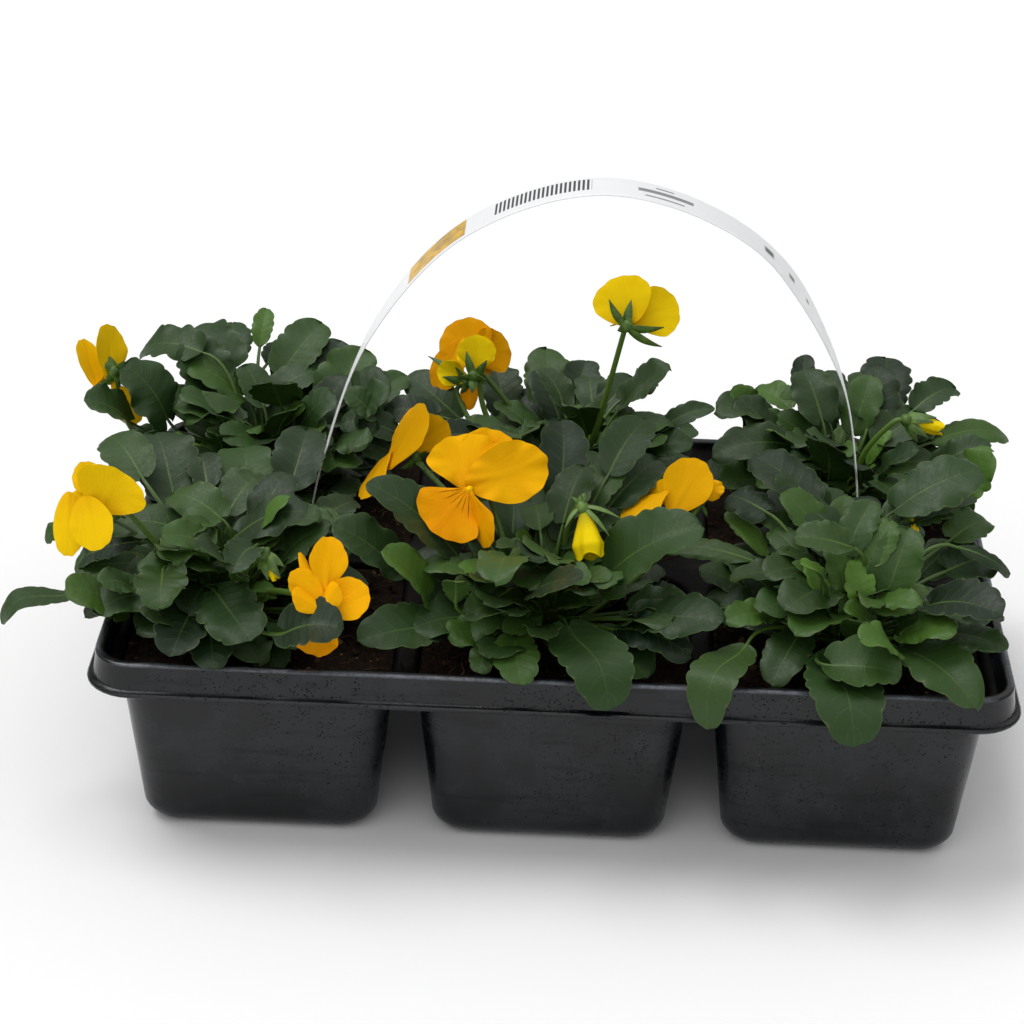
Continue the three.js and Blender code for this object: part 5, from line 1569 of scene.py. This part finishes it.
def growFlower(name, flower, seed):
    # petals or a furled bud at the throat, a stem from the plant's crown to the calyx, and the
    # calyx's knob with its sepals
    picker = np.random.default_rng(seed)
    throat = np.array(flower["throat"], float)
    calyx = throat + fromView(flower["calyx"])
    pale = flower.get("pale", 0.0)
    sheets = []
    for petal in flower["petals"]:
        make = furledBloom if "neck" in petal else petalSheet
        sheets.append(make(throat, petal, flower["hue"], picker))
    if "nose" in flower:
        nose = throat + fromView((0, 0.4, 0)) + viewBack * np.linspace(-1.5, 2.2, len(noseRadii))[:, None]
        sheets.append(sweptTube(nose, noseRadii, 12, {"along": 0.9, "lemon": flower["nose"]}))
    makePiece(f"corolla_{name}", sheets, petalGold, [f"petals_{name}"], sharp=75)
    crown = np.array([*plants[flower["plant"]]["crown"], 0.0])
    low = np.array(flower["stem"][-1], float)
    foot = crown + unit((low - crown) * [1, 1, 0]) * 7 + [0, 0, leafSet["ground"] - 1]
    path = throughPoints([foot, *flower["stem"][::-1], calyx], stemSet["steps"])
    share = np.linspace(0, 1, stemSet["steps"])
    thick = np.interp(share, *np.transpose(stemSet["radii"]))
    stem = sweptTube(path, thick, stemSet["sides"], {"along": share * 0.6, "tone": picker.uniform(0, 0.6)})
    makePiece(f"flowerStem_{name}", [stem], stalkGreen, [f"stem_{name}"], sharp=60)
    inward = unit(throat - calyx)
    knob = calyx + inward * np.linspace(-2.2, 2.4, len(calyxRadii))[:, None]
    parts = [sweptTube(knob, calyxRadii, 12, {"along": 0.2, "pale": pale})]
    away = unit(unit(calyx - throat) + 0.9 * viewBack)
    wide = flower.get("sepalWidth", sepalSet["width"])
    for tip in flower["sepals"]:
        parts.append(sepalSheet(calyx - inward * 0.5, throat + fromView(tip), away, wide, pale, picker))
    makePiece(f"calyx_{name}", parts, sepalGreen, [f"stem_{name}"], sharp=60)


for seed, (name, plant) in enumerate(plants.items()):
    growPlant(name, plant, seed + 1)
print("leaves grown")
for seed, (name, flower) in enumerate(flowers.items()):
    growFlower(name, flower, seed + 40)
print("flowers made")

# floor, light and camera
studio = {
    "floorHalf": 6,  # metres
    "floorDrop": 0.0002,
    "floorGreys": ((0.9, 0.9, 0.9), (0.885, 0.885, 0.885)),
    "world": (1.0, 1.0, 1.0),
    "worldStrength": 0.26,
    "lights": {
        "dome": {"from": (0.0, 0.12, 1.0), "angle": 112, "power": 1.25},
        "key": {"from": (-0.35, 0.15, 0.92), "angle": 36, "power": 1.4},
        "fill": {"from": (-0.25, -0.8, 0.5), "angle": 60, "power": 0.6},
    },
}


def paleFloor():
    # a wide nearly white square just below the tray that takes its shadow
    reach = studio["floorHalf"]
    mesh = bpy.data.meshes.new("floor")
    corners = [(-reach, -reach, 0), (reach, -reach, 0), (reach, reach, 0), (-reach, reach, 0)]
    mesh.from_pydata(corners, [], [(0, 1, 2, 3)])
    sheet = NodeSheet("paleFloor")
    sheet.set(Base_Color=sheet.mix(sheet.noise(3, 2), *studio["floorGreys"]), Roughness=0.9)
    mesh.materials.append(sheet.material)
    floor = bpy.data.objects.new("floor", mesh)
    floor.location.z = -studio["floorDrop"]
    bpy.context.scene.collection.objects.link(floor)


def softLight(name, spec):
    # a wide sun that shines from the given direction
    light = bpy.data.lights.new(name, "SUN")
    light.angle = math.radians(spec["angle"])
    light.energy = spec["power"]
    lamp = bpy.data.objects.new(name, light)
    lamp.rotation_mode = "QUATERNION"
    lamp.rotation_quaternion = (-Vector(spec["from"])).to_track_quat("-Z", "Y")
    bpy.context.scene.collection.objects.link(lamp)


paleFloor()
world = bpy.data.worlds.new("studioWhite")
world.use_nodes = True
background = world.node_tree.nodes["Background"]
background.inputs["Color"].default_value = (*studio["world"], 1)
background.inputs["Strength"].default_value = studio["worldStrength"]
bpy.context.scene.world = world
for name, spec in studio["lights"].items():
    softLight(name + "Light", spec)

cameraData = bpy.data.cameras.new("viewer")
cameraData.sensor_width = cameraSet["sensor"]
cameraData.lens = cameraSet["lens"]
cameraData.clip_end = cameraSet["farthest"]
viewer = bpy.data.objects.new("viewer", cameraData)
place = np.array(cameraSet["target"]) + viewBack * cameraSet["distance"]
pose = Matrix(np.column_stack([viewRight, viewUp, viewBack]).tolist()).to_4x4()
pose.translation = Vector(place * millimetre + trayCentre)
viewer.matrix_world = pose
bpy.context.scene.collection.objects.link(viewer)
bpy.context.scene.camera = viewer
bpy.context.scene.view_settings.view_transform = "Standard"
print("studio ready")
